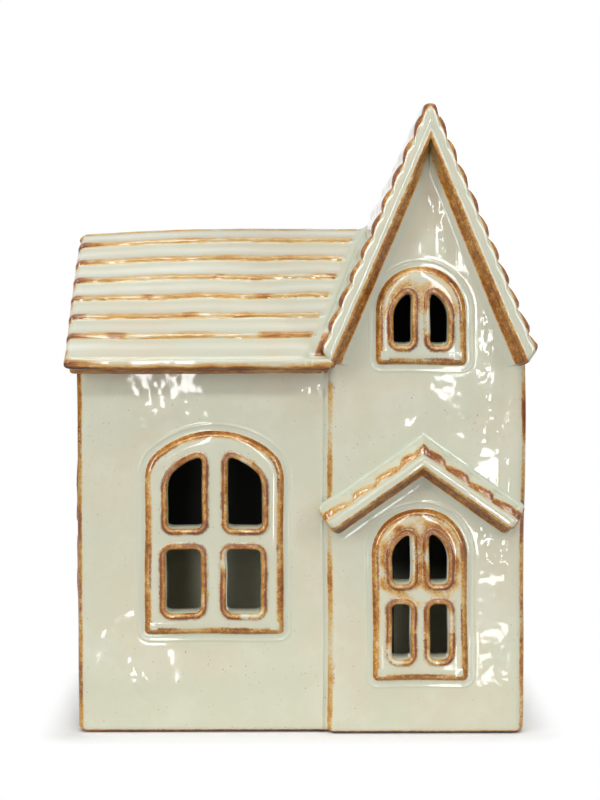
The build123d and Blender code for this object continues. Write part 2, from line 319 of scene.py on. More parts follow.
CREAM = paint(204, 205, 182)
CREAM_PALE = paint(214, 216, 198)
CREAM_WARM = paint(210, 195, 166)
# Green of glaze pooled in a hollow, which on the roof also paints the shade under each lip.
POOL_AND_SHADE_GREEN = paint(198, 204, 184)
# Painted highlight: the white on the flats of the roof's planks.
PAINTED_HIGHLIGHT_WHITE = paint(234, 234, 222)
PALE_GOLD = paint(206, 174, 112)
GOLD = paint(196, 146, 66)
AMBER = paint(168, 102, 8)
BROWN = paint(120, 62, 2)
DARK_BROWN = paint(58, 30, 2)
RUST = paint(124, 58, 2)
IRON = paint(112, 82, 50)
# Painted shade: the near-black of the dim inside of the house, painted into the glaze.
ROOM_SHADE = paint(26, 25, 21)
GLAZE_RAMP = [(0.0, CREAM), (0.22, CREAM), (0.32, CREAM_WARM), (0.43, PALE_GOLD), (0.53, GOLD),
              (0.66, AMBER), (0.84, BROWN), (1.0, DARK_BROWN)]
print("from thick to thin:", len(GLAZE_RAMP), "stops")


# %% [markdown]
# Node trees are long to write and hard to read. A small helper adds a node, fills its inputs and
# joins it in one call, so that a material reads like a potter's recipe.


# %% Node tools
class Nodes:
    """Adds nodes to a tree and joins them, so that a material reads like a recipe."""

    def __init__(self, tree):
        self.tree = tree

    def add(self, kind, inputs=(), **settings):
        """A node with its settings, and its inputs set by value or joined to an output."""
        node = self.tree.nodes.new(kind)
        for name, value in settings.items():
            setattr(node, name, value)
        for name, value in dict(inputs).items():
            if isinstance(value, bpy.types.NodeSocket):
                self.tree.links.new(value, node.inputs[name])
            else:
                node.inputs[name].default_value = value
        return node

    def math(self, operation, first, second=0.0, third=0.0):
        """One arithmetic step."""
        return self.add("ShaderNodeMath", {0: first, 1: second, 2: third}, operation=operation).outputs[0]

    def times(self, first, second):
        """The product of two numbers."""
        return self.math("MULTIPLY", first, second)

    def plus(self, first, second):
        """The sum of two numbers."""
        return self.math("ADD", first, second)

    def noise(self, vector, scale, detail=2.0, rough=0.5):
        """Noise between about 0.2 and 0.8; scale is in lumps to the metre."""
        inputs = {"Vector": vector, "Scale": scale, "Detail": detail, "Roughness": rough}
        return self.add("ShaderNodeTexNoise", inputs).outputs["Fac"]

    def step(self, value, low, high):
        """0 below low, 1 above high, smooth between."""
        inputs = {"Value": value, "From Min": low, "From Max": high}
        return self.add("ShaderNodeMapRange", inputs, interpolation_type="SMOOTHSTEP").outputs[0]

    def mix(self, share, first, second):
        """Between two colours."""
        node = self.add("ShaderNodeMix", data_type="RGBA")
        for socket, value in ((node.inputs[0], share), (node.inputs[6], first), (node.inputs[7], second)):
            if isinstance(value, bpy.types.NodeSocket):
                self.tree.links.new(value, socket)
            else:
                socket.default_value = value
        return node.outputs[2]


def new_material(name):
    """An empty material, and the helper that fills its tree."""
    material = bpy.data.materials.new(name)
    material.use_nodes = True
    material.node_tree.nodes.clear()
    return material, Nodes(material.node_tree)


print("node helpers:", [name for name in vars(Nodes) if not name.startswith("_")])


# %% [markdown]
# The recipe reads one number, thin, ragged by noise, and looks its colour up in the ramp. Rust
# darkens patches of the thin glaze, the pooling number greens the hollows and paints the shade under
# the roof's lips, and below zero it whitens the planks' flats as a painted highlight. The inside is
# painted near-black as shade. Iron in the clay bleeds through as dots. It is a node group, because
# walls, roofs and windows share it, and the gloss itself stays in each material.


# %% The breaking glaze as a node group
def glaze_group():
    """Thin, rust, pool, inside and ripple in; colour, roughness and surface height out."""
    group = bpy.data.node_groups.new("breaking glaze", "ShaderNodeTree")
    face = group.interface
    for label in ("Place", "Grain"):
        face.new_socket(label, in_out="INPUT", socket_type="NodeSocketVector")
    for label in ("Thin", "Rust", "Pool", "Inside", "Ripple", "Speckle", "Mottle"):
        face.new_socket(label, in_out="INPUT", socket_type="NodeSocketFloat")
    face.new_socket("Color", in_out="OUTPUT", socket_type="NodeSocketColor")
    face.new_socket("Roughness", in_out="OUTPUT", socket_type="NodeSocketFloat")
    face.new_socket("Height", in_out="OUTPUT", socket_type="NodeSocketFloat")
    n = Nodes(group)
    given = n.add("NodeGroupInput").outputs
    place = given["Place"]
    grain = given["Grain"]

    fine = n.noise(grain, 1700, 2, 0.6)
    middle = n.noise(grain, 480, 3, 0.6)
    patchy = n.noise(place, 90, 2, 0.5)
    wander = n.plus(n.times(fine, 0.85), n.times(middle, 0.85))
    wander = n.plus(wander, n.times(patchy, 0.60))
    spread = n.math("SUBTRACT", wander, 1.15)
    thin = n.plus(given["Thin"], n.times(spread, given["Thin"]))
    ramp = n.add("ShaderNodeValToRGB", {"Fac": thin})
    while len(ramp.color_ramp.elements) < len(GLAZE_RAMP):
        ramp.color_ramp.elements.new(0.5)
    for element, (position, colour) in zip(ramp.color_ramp.elements, GLAZE_RAMP):
        element.position = position
        element.color = colour

    cloud = n.step(n.noise(place, 30, 3, 0.55), 0.40, 0.66)
    pale = n.step(n.noise(grain, 62, 4, 0.6), 0.42, 0.70)
    body = n.mix(n.times(cloud, n.times(given["Mottle"], 0.50)), CREAM, CREAM_WARM)
    body = n.mix(n.times(pale, n.times(given["Mottle"], 0.55)), body, CREAM_PALE)
    # Green for glaze pooled in a hollow; on the roof it also paints the shade under each lip.
    body = n.mix(n.times(given["Pool"], 0.8), body, POOL_AND_SHADE_GREEN)
    # Below zero the number paints a highlight: the white on the flats of the roof's planks.
    thick = n.times(given["Pool"], n.math("SUBTRACT", -0.35, n.times(pale, 0.65)))
    body = n.mix(thick, body, PAINTED_HIGHLIGHT_WHITE)
    colour = n.mix(n.step(thin, 0.14, 0.44), body, ramp.outputs["Color"])

    stipple = n.plus(n.plus(fine, n.times(middle, 0.5)), given["Rust"])
    colour = n.mix(n.times(n.step(stipple, 1.02, 1.66), 0.88), colour, RUST)
    dots = n.step(n.noise(place, 1250, 1, 0.5), 0.752, 0.775)
    colour = n.mix(n.times(dots, n.times(given["Speckle"], 0.6)), colour, IRON)
    # Painted shade: the inside of the house is painted near-black.
    colour = n.mix(given["Inside"], colour, ROOM_SHADE)

    rough = n.plus(0.05, n.times(n.step(thin, 0.5, 0.95), 0.08))
    rough = n.plus(rough, n.times(given["Inside"], 0.8))
    swell = n.noise(place, 80, 2, 0.45)
    wrinkle = n.times(n.noise(place, 105, 2, 0.45), n.times(given["Ripple"], 1.9))
    tooth = n.times(n.times(fine, n.step(thin, 0.4, 0.8)), 0.05)
    height = n.plus(n.plus(swell, wrinkle), tooth)
    n.add("NodeGroupOutput", {"Color": colour, "Roughness": rough, "Height": height})
    return group


GLAZE = glaze_group()
print("glaze recipe:", len(GLAZE.nodes), "nodes")


# %% [markdown]
# Four finishes come from the one recipe. On the roof the glaze is streaked along the planks, so its
# grain is drawn out in that direction. The windows are smoother than the walls, whose slow waves
# break every reflection into pieces.


# %% The four glazes
GLAZE_IOR = 1.62


def glazed(name, speckle=1.0, mottle=1.0, swell=0.0003, grain=(1.0, 1.0, 1.0)):
    """
    A glossy glaze material over the shared recipe. Swell is the height of its waves in metres, and
    grain below 1 draws the streaks out along that axis.
    """
    material, n = new_material(name)
    place = n.add("ShaderNodeTexCoord").outputs["Object"]
    streaks = n.add("ShaderNodeMapping", {"Vector": place, "Scale": grain}).outputs[0]
    inputs = {"Place": place, "Grain": streaks, "Speckle": speckle, "Mottle": mottle}
    for label in GLAZE_LABELS:
        inputs[label.capitalize()] = n.add("ShaderNodeAttribute", attribute_name=label).outputs["Fac"]
    recipe = n.add("ShaderNodeGroup", inputs, node_tree=GLAZE).outputs
    bump = n.add("ShaderNodeBump", {"Height": recipe["Height"], "Strength": 1.0, "Distance": swell})
    surface = n.add("ShaderNodeBsdfPrincipled", {
        "Base Color": recipe["Color"], "Roughness": recipe["Roughness"],
        "IOR": GLAZE_IOR, "Normal": bump.outputs["Normal"],
    })
    n.add("ShaderNodeOutputMaterial", {"Surface": surface.outputs[0]})
    return material


WALL_GLAZE = glazed("wall glaze")
ROOF_GLAZE = glazed("roof glaze", speckle=0.4, mottle=1.5, swell=0.0002, grain=(0.16, 1.0, 1.0))
SLAB_GLAZE = glazed("gable glaze", speckle=0.6, mottle=0.7, swell=0.0002)
WINDOW_GLAZE = glazed("window glaze", speckle=0.9, mottle=0.6, swell=0.0001)
print("glazes:", [glaze.name for glaze in (WALL_GLAZE, ROOF_GLAZE, SLAB_GLAZE, WINDOW_GLAZE)])


# %% [markdown]
# The house stands on a slab with a soft foot. Its plan is one closed line: straight runs with
# quarter-round corners, and at the front a step where the wing stands forward. The step has the
# same soft edge as the raised window plates, so that edge is written once: a round nose, a steep
# flank, a hollow where glaze pools, and a faint lip where the potter smeared the joint.


# %% The soft raised edge
SHOULDER_WIDE = 3.3
STEP_WIDE = 2.1
LIP_PLACE = 2.2
LIP_WIDE = 0.36
LIP_HEIGHT = 0.22
EDGE_END = 3.8
FLUSH = 0.012


def raised_edge(relief, set_in, wide, crown=1.25, hollow=0.8):
    """
    A raised edge in section, from on top of the plate to out on the wall: pairs of distance
    outward from the edge and height over the wall. A flattened quarter round, as wide as given and
    as deep as the crown, turns down to the flank. A hollow arc turns out to the wall, and a
    bell-shaped lip follows. The whole is set in from the edge by a little, as the flank leans out.
    """
    lean = math.radians(14)
    first = np.linspace(math.pi / 2, lean, 12)
    over = together(wide * (np.cos(first) - 1) - set_in, relief + crown * (np.sin(first) - 1))
    steep = math.atan2(wide * math.sin(lean), crown * math.cos(lean))
    drop = max(over[-1, 1] - hollow * (1 - math.sin(steep)), 0.02)
    foot = over[-1] + np.array([drop * math.tan(steep), -drop])
    second = np.linspace(steep, math.pi / 2, 9)[1:]
    centre = foot + hollow * np.array([math.cos(steep), math.sin(steep)])
    under = centre - hollow * together(np.cos(second), np.sin(second))
    under[:, 1] -= under[-1, 1]
    out = np.linspace(under[-1, 0], EDGE_END, 16)[1:]
    far = together(out, 0)
    line = np.concatenate([[[over[0, 0] - 0.3, relief]], over, [foot], under, far])
    line[:, 1] += LIP_HEIGHT * np.exp(-((line[:, 0] - LIP_PLACE) / LIP_WIDE) ** 2) + FLUSH
    return line


def edge_glaze(distance):
    """Thin, rust and pool across a raised edge, by the distance outward from it."""
    nose = band(distance, -2.2, -1.7, 0.0, 0.4)
    thin = (0.56 + 0.14 * ease(distance, -1.2, -0.2)) * nose
    thin = np.maximum(thin, 0.36 * band(distance, -3.2, -1.9, 0.1, 1.0))
    rust = 0.75 * band(distance, -2.4, -2.0, -1.6, -0.8)
    pool = band(distance, 0.2, 0.7, 1.6, 2.2)
    return thin, rust, pool


STEP_EDGE = raised_edge(MAIN_FACE - WING_FACE, 0.0, STEP_WIDE)
print("the wing's edge is", len(STEP_EDGE), "points, up to", round(STEP_EDGE[:, 1].max(), 2), "high")


# %% [markdown]
# The plan line is kept as one array. The base carries a foot profile round it, and the two side
# walls take their share of the same line, so base and walls meet without a seam.


# %% The plan of the walls
CORNER = 3.5
RETURN = 0.6


def plan_left(step):
    """From just on the main front, round the left side, to just on the back."""
    front = MAIN_FACE + CORNER
    back = BACK_FACE - CORNER
    side = even_steps(front, back, step)[1:-1]
    return np.concatenate([
        [[INNER_LEFT + RETURN, MAIN_FACE]],
        turn(WALL_LEFT + CORNER, front, CORNER, 270, 180, 11),
        together(WALL_LEFT, side),
        turn(WALL_LEFT + CORNER, back, CORNER, 180, 90, 11),
        [[INNER_LEFT + RETURN, BACK_FACE]],
    ])


def plan_right(step):
    """From just on the wing's front, round the right side, to just on the back."""
    front = WING_FACE + CORNER
    back = BACK_FACE - CORNER
    side = even_steps(front, back, step)[1:-1]
    return np.concatenate([
        [[INNER_RIGHT - RETURN, WING_FACE]],
        turn(WALL_RIGHT - CORNER, front, CORNER, 270, 360, 11),
        together(WALL_RIGHT, side),
        turn(WALL_RIGHT - CORNER, back, CORNER, 0, 90, 11),
        [[INNER_RIGHT - RETURN, BACK_FACE]],
    ])


def plan_step():
    """The wing's left edge in plan, from out on the main front to the wing's face."""
    return together(WING_LEFT - STEP_EDGE[::-1, 0], MAIN_FACE - STEP_EDGE[::-1, 1])


def plan_all():
    """The whole plan, anticlockwise from the main front's left end."""
    main = even_steps(INNER_LEFT + 2, WING_LEFT - EDGE_END - 1, 2)
    wing = even_steps(WING_LEFT + 3, INNER_RIGHT - 2, 2)
    back = even_steps(INNER_RIGHT - 2, INNER_LEFT + 2, 2)
    return np.concatenate([
        together(main, MAIN_FACE),
        plan_step(),
        together(wing, WING_FACE),
        plan_right(2),
        together(back, BACK_FACE),
        plan_left(2)[::-1],
    ])


print("the plan line has", len(plan_all()), "points")


# %% [markdown]
# The base could be a box with its edges rounded by a modifier. Here the plan line is drawn in and
# lifted by a foot profile instead, so that the dark brown foot and the amber corners sit exactly
# where the shape turns. The same two bands of thin glaze run on up the walls.


# %% Base slab
FOOT = 2.4


def outward_of(line):
    """Unit directions in plan that point out of a closed anticlockwise line."""
    along = np.roll(line, -1, 0) - np.roll(line, 1, 0)
    out = together(along[:, 1], -along[:, 0])
    return out / np.linalg.norm(out, axis=1, keepdims=True)


def corner_thin(points, wall, face, side):
    """The glaze runs thin down the round front and back corners, a band on the side of each."""
    out = side * (points[:, 0] - wall)
    front = np.abs(points[:, 1] - face)
    back = np.abs(points[:, 1] - BACK_FACE)
    depth = np.minimum(front, back)
    on_arc = (out < -0.05) & (out > -3.3) & (depth < CORNER)
    wander = 0.56 + 0.12 * waves(points[:, 2], 31, 71 + side)
    return np.where(on_arc, band(depth, 0.0, 0.8, 2.6, 3.5) * wander, 0.0)


def step_thin(points):
    """The glaze runs thin over the nose of the wing's left edge."""
    distance = WING_LEFT - points[:, 0]
    wander = 0.92 + 0.12 * waves(points[:, 2], 29, 61)
    return 0.52 * band(distance, -1.9, -0.5, 0.3, 1.3) * wander


def make_base():
    """The plan line carried up a foot profile: a quarter round, then straight up to the walls."""
    line = plan_all()
    out = outward_of(line)
    angles = np.radians(np.linspace(-90, 0, 8))
    inset = np.concatenate([[FOOT + 6, FOOT + 1.5], FOOT * (1 - np.cos(angles)), [0, 0, 1.2, FOOT + 6]])
    rise = np.concatenate([[0, 0], FOOT * (1 + np.sin(angles)), [3.6, BASE_TOP, BASE_TOP, BASE_TOP]])
    rings = line[None] - inset[:, None, None] * out[None]
    count = len(line)
    points = np.concatenate([rings, np.broadcast_to(rise[:, None, None], (len(rise), count, 1))], -1)
    points[0] = [0, 0, 0]
    points[-1] = [0, 0, BASE_TOP]
    height = points[..., 2].reshape(-1)
    reach = np.repeat(inset, count)
    thin = 0.95 * (1 - ease(height, 0.4, 1.6)) + 0.12 * (1 - ease(height, 1.2, 3.4))
    thin = np.where(reach > FOOT + 1, 0.97, thin)
    thin = np.where(height > 3.5, 0.0, thin)
    points = points.reshape(-1, 3)
    edges = step_thin(points) * (points[:, 1] < MAIN_FACE + 0.2)
    for wall, face, side in ((WALL_LEFT, MAIN_FACE, -1), (WALL_RIGHT, WING_FACE, 1)):
        edges = np.maximum(edges, corner_thin(points, wall, face, side))
    thin = np.maximum(thin, edges * (reach < 0.5))
    return shell(points, ring_quads(len(rise), count), thin=thin)


add_clay("base_slab", WALL_GLAZE, [make_base()], weld=True)


# %% [markdown]
# Windows. On the real house each is a raised plate luted onto the wall, with a bead pressed round
# every pane. All of its lines are at a set distance from an outline, so the outlines are written as
# signed distances: negative inside, positive outside. A plate edge or a bead is then a small
# section carried round the line where that distance is zero.


# %% Signed distances of a window
def rounded_meet(first, second, radius):
    """
    Distance to the corner in which two edges meet, rounded: the larger of the two distances, and
    round the corner the length of both overshoots together.
    """
    over = np.hypot(np.maximum(first + radius, 0), np.maximum(second + radius, 0))
    return np.minimum(np.maximum(first, second) + radius, 0) + over - radius


def arch_distance(across, up, half, height, rise):
    """Distance to an arch of a given half width and rise, running straight down from its springing."""
    radius = (half ** 2 + rise ** 2) / (2 * rise)
    centre = height - radius
    return np.where(up > centre, np.hypot(across, up - centre), np.abs(across)) - radius


print("two edges at a right angle, distance at their corner:", round(float(rounded_meet(0.0, 0.0, 1.7)), 2))


# %% [markdown]
# A plate is an arch whose shoulders and foot are rounded; a pane is one of its quarters, drawn in by
# the border and the bars. Each outline wobbles by a tenth of a millimetre, as if cut with a knife.


# %% Outlines of plates and panes
PANE_CORNER = 1.7
PLATE_CORNER = 1.35
SHOULDER = 2.4


def outline_distance(window):
    """The plate's outline as a function of place."""
    half, height, rise = window["width"] / 2, window["height"], window["rise"]

    def distance(across, up):
        arch = arch_distance(across, up, half, height, rise)
        if rise < half:
            arch = rounded_meet(arch, np.abs(across) - half, SHOULDER)
        wobble = 0.10 * waves(across + 0.6 * up, 26, window["seed"])
        return rounded_meet(arch, -up, PLATE_CORNER) + wobble

    return distance


def pane_distance(window, side, upper):
    """One pane's outline: side is -1 or 1, upper True for the pane under the arch."""
    half = window["width"] / 2 - window["border"]
    bottom = window["bottom"]
    height = window["height"] - window["top"] - bottom
    rise = window["rise"] * half / (window["width"] / 2)
    bar = window["transom_width"] / 2
    low = (window["transom"] + bar if window["transom"] and upper else bottom) - window["sill_drop"]
    high = bottom + height if upper else window["transom"] - bar
    seed = window["seed"] * 10 + 2 * side + upper
    shift = window["shifts"].get((side, upper), (0, 0))

    def distance(across, up):
        across = across - shift[0]
        up = up - shift[1] * ease(up, low, high)
        inner = window["mullion"] / 2 - side * across
        outer = side * across - half
        if upper:
            top = arch_distance(across, up - bottom, half, height, rise)
        else:
            top = up - high
        if upper and rise >= half:
            shape = rounded_meet(rounded_meet(inner, top, PANE_CORNER), low - up, PANE_CORNER)
        else:
            shape = rounded_meet(np.maximum(inner, outer), np.maximum(top, low - up), PANE_CORNER)
        return shape + 0.07 * waves(across * 0.8 + up, 17, seed)

    middle = (side * (window["mullion"] / 2 + half) / 2 + shift[0], (low + high) / 2)
    return distance, middle


def trace(distance, middle, spacing):
    """
    The line where a distance is zero, and its outward directions: rays from a middle point step
    on by the distance until they land, and the line is then spaced evenly along its length.
    """
    angles = np.linspace(0, TAU, 1800, endpoint=False)
    reach = np.zeros_like(angles)
    for _ in range(80):
        reach -= distance(middle[0] + reach * np.cos(angles), middle[1] + reach * np.sin(angles))
    line = together(middle[0] + reach * np.cos(angles), middle[1] + reach * np.sin(angles))
    closed = np.concatenate([line, line[:1]])
    length = np.concatenate([[0], np.cumsum(np.linalg.norm(np.diff(closed, axis=0), axis=1))])
    count = int(length[-1] / spacing)
    even = np.linspace(0, length[-1], count, endpoint=False)
    line = np.stack([np.interp(even, length, closed[:, axis]) for axis in (0, 1)], -1)
    small = 0.02
    for _ in range(3):
        right = distance(line[:, 0] + small, line[:, 1]) - distance(line[:, 0] - small, line[:, 1])
        above = distance(line[:, 0], line[:, 1] + small) - distance(line[:, 0], line[:, 1] - small)
        out = together(right, above)
        out /= np.linalg.norm(out, axis=1, keepdims=True)
        line = line - distance(line[:, 0], line[:, 1])[:, None] * out
    return line, out


CIRCLE, _ = trace(lambda across, up: np.hypot(across, up) - 10.0, (0, 0), 1.0)
print("a circle of 10 mm traced from its distance:", np.round(np.hypot(*CIRCLE[0]), 4))


# %% [markdown]
# One window is three kinds of surface: the plate's soft edge, its flat face, and a bead with the
# pane's lining for every pane. A boolean cut would give the same outline, but a carried section
# gives the bead its round crest, and lets it swell and thin out along its length.


# %% The bead in section
RELIEF = 2.0
BEAD = 0.9
BEAD_WIDTH = 2.35
SET_IN = 0.45
EDGE_SPACING = 0.36
BEAD_SPACING = 0.3
FACE_SPACING = 0.5


def bead_section():
    """
    The bead and the pane's lining in section, as distance out from the pane and height over the
    wall: a foot on the plate, a round crest, a shoulder that turns into the pane, the reveal back
    through the wall, a small burr inside, and the way back hidden in the clay.
    """
    crest = np.radians(np.linspace(-58, 92, 14))
    out = 1.22 - 0.98 * np.sin(crest)
    high = RELIEF - 0.15 + (BEAD + 0.15) * np.cos(crest)
    foot = [(BEAD_WIDTH + 0.12, RELIEF + FLUSH), (BEAD_WIDTH - 0.05, RELIEF + 0.06), (2.18, RELIEF + 0.2)]
    reveal = [(0.15, RELIEF - 0.8), (0.04, RELIEF - 1.5), (0.0, -0.6), (0.05, -2.4), (0.12, -4.3)]
    burr = [(0.3, -WALL - 0.02), (0.65, -WALL - 0.16), (1.1, -WALL - 0.06), (1.1, -WALL + 0.5)]
    hidden = [(1.3, -1.0), (1.5, 0.6), (BEAD_WIDTH, RELIEF - 0.6)]
    return np.array([*foot, *together(out, high), *reveal, *burr, *hidden])


print("the bead and its lining:", len(bead_section()), "points")


# %% [markdown]
# Round every pane the glaze is stippled, and on the two small windows it ran so thin that the whole
# plate is brown. That could be painted by hand; here it follows from how far the nearest pane is.


# %% Glaze on a plate
def face_glaze(window, panes, across, up):
    """
    How thin and how rusty the plate's face is. Stipple rings every bead, and on the small windows
    the glaze ran thin all round the panes, most in the arch and least on the bottom rail.
    """
    nearest = np.min([pane(across, up) for pane in panes], axis=0)
    near = 1 - 0.40 * ease(nearest, 2.4, 5.2)
    high = 0.40 + 0.60 * ease(up, 0.38 * window["height"], 0.62 * window["height"])
    patch = 0.92 + 0.16 * waves(across + 1.7 * up, 14, window["seed"] + 70)
    halo = (0.34 + 0.06 * waves(across - 1.3 * up, 9, window["seed"] + 80)) * (1 - ease(nearest, 2.3, 3.5))
    thin = np.maximum(window["brown"] * near * high * patch, halo)
    brown = window["brown"] * high * (1 - ease(nearest, 2.3, 3.6))
    rust = np.maximum(0.45 * (1 - ease(nearest, 2.2, 3.2)), brown)
    return thin, rust


NEAR_AND_FAR = face_glaze({"brown": 0.6, "height": 55, "seed": 5}, [lambda across, up: across],
                          np.array([1.0, 6.0]), np.array([40.0, 40.0]))
print("brown plate beside a pane, and 6 mm away:", np.round(NEAR_AND_FAR[0], 2))


# %% [markdown]
# Now the three surfaces themselves: the edge is carried round the outline, the face is a grid less
# the panes, and each bead is carried round its pane, where a sill slopes out under it.


# %% Edge, face and beads of a window
def flat_ring(line, out, profile):
    """A profile carried round a line in the window's own plane."""
    flat = np.concatenate([line, np.zeros((len(line), 1))], -1)
    outward = np.concatenate([out, np.zeros((len(out), 1))], -1)
    return carried_ring(flat, outward, np.array([0, 0, 1.0]), profile)


def plate_edge(window, outline, panes):
    """The plate's soft edge, carried round the outline."""
    line, out = trace(outline, (0, window["height"] * 0.45), EDGE_SPACING)
    section = raised_edge(RELIEF, SET_IN, SHOULDER_WIDE)
    profile = np.concatenate([section, [[EDGE_END, -0.35], [section[0, 0], -0.35]]])
    points, quads = flat_ring(line, out, profile)
    distance = np.tile(profile[:, 0], len(line))
    around = np.repeat(np.arange(len(line)) * EDGE_SPACING, len(profile))
    thin, rust, pool = edge_glaze(distance)
    thin = thin * (1 + 0.10 * waves(around, 23, window["seed"] + 40))
    rust = rust * ease(waves(around, 31, window["seed"] + 50), -0.6, 0.8)
    face_thin, face_rust = face_glaze(window, panes, points[:, 0], points[:, 1])
    on_face = 1 - ease(distance, -2.3, -1.8)
    thin = np.maximum(thin, on_face * face_thin)
    rust = np.maximum(rust, on_face * face_rust)
    return points, quads, thin, rust, pool


def plate_face(window, outline, panes):
    """The flat of the plate: the cells of a grid that are clear of its edge and of every pane."""
    half = window["width"] / 2
    rows = even_steps(0, window["height"], FACE_SPACING)
    across, up = np.meshgrid(even_steps(-half, half, FACE_SPACING), rows)
    mid_across = (across[:-1, :-1] + across[1:, 1:]) / 2
    mid_up = (up[:-1, :-1] + up[1:, 1:]) / 2
    keep = outline(mid_across, mid_up) < -SHOULDER_WIDE - SET_IN + 0.25
    for pane in panes:
        keep &= pane(mid_across, mid_up) > 1.9
    front = together(across, up, RELIEF)
    back = together(across, up, -0.3)
    points, quads = closed_sheet(front, back, keep)
    thin, rust = face_glaze(window, panes, points[:, 0], points[:, 1])
    return points, quads, thin, rust


def pane_bead(window, pane, middle, number):
    """One pane's bead and lining, with a sill that slopes out where the line runs below the pane."""
    section = bead_section()
    line, out = trace(pane, middle, BEAD_SPACING)
    around = np.arange(len(line)) * BEAD_SPACING
    swell = 1 + 0.12 * waves(around, 15, window["seed"] * 7 + number)
    below = ease(-out[:, 1], 0.4, 0.95)
    profile = np.repeat(section[None], len(line), 0)
    raised = np.maximum(profile[..., 1] - RELIEF, 0) * (swell[:, None] - 1)
    depth = np.clip((RELIEF - 0.2 - profile[..., 1]) / (WALL + RELIEF), 0, 1)
    profile[..., 1] += raised
    profile[..., 0] -= window["sill_slope"] * below[:, None] * depth
    points, quads = flat_ring(line, out, profile)
    distance = np.tile(section[:, 0], len(line))
    height = np.tile(section[:, 1], len(line))
    along = np.repeat(around, len(section))
    fade = (1 - ease(distance, 1.85, 2.3)) * ease(height, RELIEF - 0.55, RELIEF - 0.05)
    gaps = 0.5 + 0.5 * ease(waves(along, 25, window["seed"] * 9 + number), -1.4, -0.6)
    outer = ease(distance, 1.0, 1.5)
    thin = fade * gaps * (0.60 + 0.14 * outer + 0.06 * waves(along, 11, window["seed"] * 5 + number))
    patches = 0.45 + 0.55 * ease(waves(along, 12, window["seed"] * 3 + number), -0.7, 0.5)
    rust = gaps * patches * ease(distance, 0.95, 1.5) * (1 - 0.45 * ease(distance, 1.7, 2.3)) * (height > 0)
    face_thin, face_rust = face_glaze(window, [pane], points[:, 0], points[:, 1])
    on_plate = ease(height, RELIEF - 0.1, RELIEF + 0.1) * ease(distance, 0.9, 1.4)
    thin = np.maximum(thin, on_plate * face_thin)
    rust = np.maximum(rust, on_plate * face_rust)
    # Painted shade: the lining's inner end is painted near-black, as the room behind it.
    inside = ease(-height, WALL - 1.2, WALL - 0.4)
    return points, quads, thin, rust, inside


def window_shells(window, place):
    """The plate's edge and face and a bead round each pane; place turns them into the house's space."""
    outline = outline_distance(window)
    rows = (True, False) if window["transom"] else (True,)
    found = [pane_distance(window, side, upper) for side in (-1, 1) for upper in rows]
    panes = [pane for pane, _ in found]
    points, quads, thin, rust, pool = plate_edge(window, outline, panes)
    shells = [shell(place(points), quads, thin=thin, rust=rust, pool=pool)]
    points, quads, thin, rust = plate_face(window, outline, panes)
    shells.append(shell(place(points), quads, thin=thin, rust=rust))
    for number, (pane, middle) in enumerate(found):
        points, quads, thin, rust, inside = pane_bead(window, pane, middle, number)
        shells.append(shell(place(points), quads, thin=thin, rust=rust, inside=inside))
    return shells, panes


print("across a plate's edge:", len(raised_edge(RELIEF, SET_IN, SHOULDER_WIDE)), "points")


# %% [markdown]
# Five windows stand on the house. Their width, height and place are read from the frame; bars and
# borders were measured on the photograph. The side windows repeat the main one, turned round.


# %% The five windows
def window_of(node, rise_share, **rest):
    """A window's sizes: its width, height and place read from its frame node, the rest as given."""
    low, high = box_mm(node)
    width = high[0] - low[0]
    window = {"width": width, "height": high[2] - low[2], "rise": width * rise_share}
    window["x"] = (low[0] + high[0]) / 2
    window["sill"] = low[2]
    window.update(rest)
    return window


MAIN_WINDOW = window_of("main_window_surround", 0.2415, border=6.7, bottom=8.0, top=8.3, mullion=8.9,
                        transom=31.1, transom_width=8.2, seed=3, brown=0.0, sill_drop=1.1, sill_slope=0.6,
                        shifts={(-1, True): (0.45, 0.6), (1, True): (0, 0.6), (1, False): (-0.5, 0)})
DOOR_WINDOW = window_of("door_window_surround", 0.5, border=6.1, bottom=8.5, top=7.9, mullion=6.5,
                        transom=28.4, transom_width=8.2, seed=5, brown=0.62, sill_drop=1.5, sill_slope=0.9,
                        shifts={(-1, True): (0.3, 0.6), (1, True): (0, 0.6)})
PEAK_WINDOW = window_of("gable_window_surround", 0.5, border=5.6, bottom=7.1, top=7.5, mullion=6.4,
                        transom=0, transom_width=0, seed=8, brown=0.56, sill_drop=1.0, sill_slope=0.8,
                        shifts={(1, True): (-0.2, 0)})


def on_front(window, face):
    """Turns across, up and height into space, on a front that faces the viewer."""
    def place(points):
        return together(window["x"] + points[:, 0], face - points[:, 2], window["sill"] + points[:, 1])
    return place


def on_side(window, wall, side):
    """The same on a side wall; side is -1 for the left and 1 for the right."""
    def place(points):
        return together(wall + side * points[:, 2], side * points[:, 0], window["sill"] + points[:, 1])
    return place


WINDOW_JOBS = [
    ("main_window_surround", MAIN_WINDOW, on_front(MAIN_WINDOW, MAIN_FACE)),
    ("door_window_surround", DOOR_WINDOW, on_front(DOOR_WINDOW, WING_FACE)),
    ("gable_window_surround", PEAK_WINDOW, on_front(PEAK_WINDOW, WING_FACE)),
    ("left_window_surround", MAIN_WINDOW, on_side(MAIN_WINDOW, WALL_LEFT, -1)),
    ("right_window_surround", MAIN_WINDOW, on_side(MAIN_WINDOW, WALL_RIGHT, 1)),
]
PANES = {}
for node, window, place in WINDOW_JOBS:
    shells, PANES[node] = window_shells(window, place)
    add_clay(node, WINDOW_GLAZE, shells)


# %% [markdown]
# Walls. Each is a grid of points on its outside, paired with a grid on its inside. Cells that fall
# in a pane are left out, and the bead's lining covers the cut. The grids run up into the roof,
# where nobody sees them end.


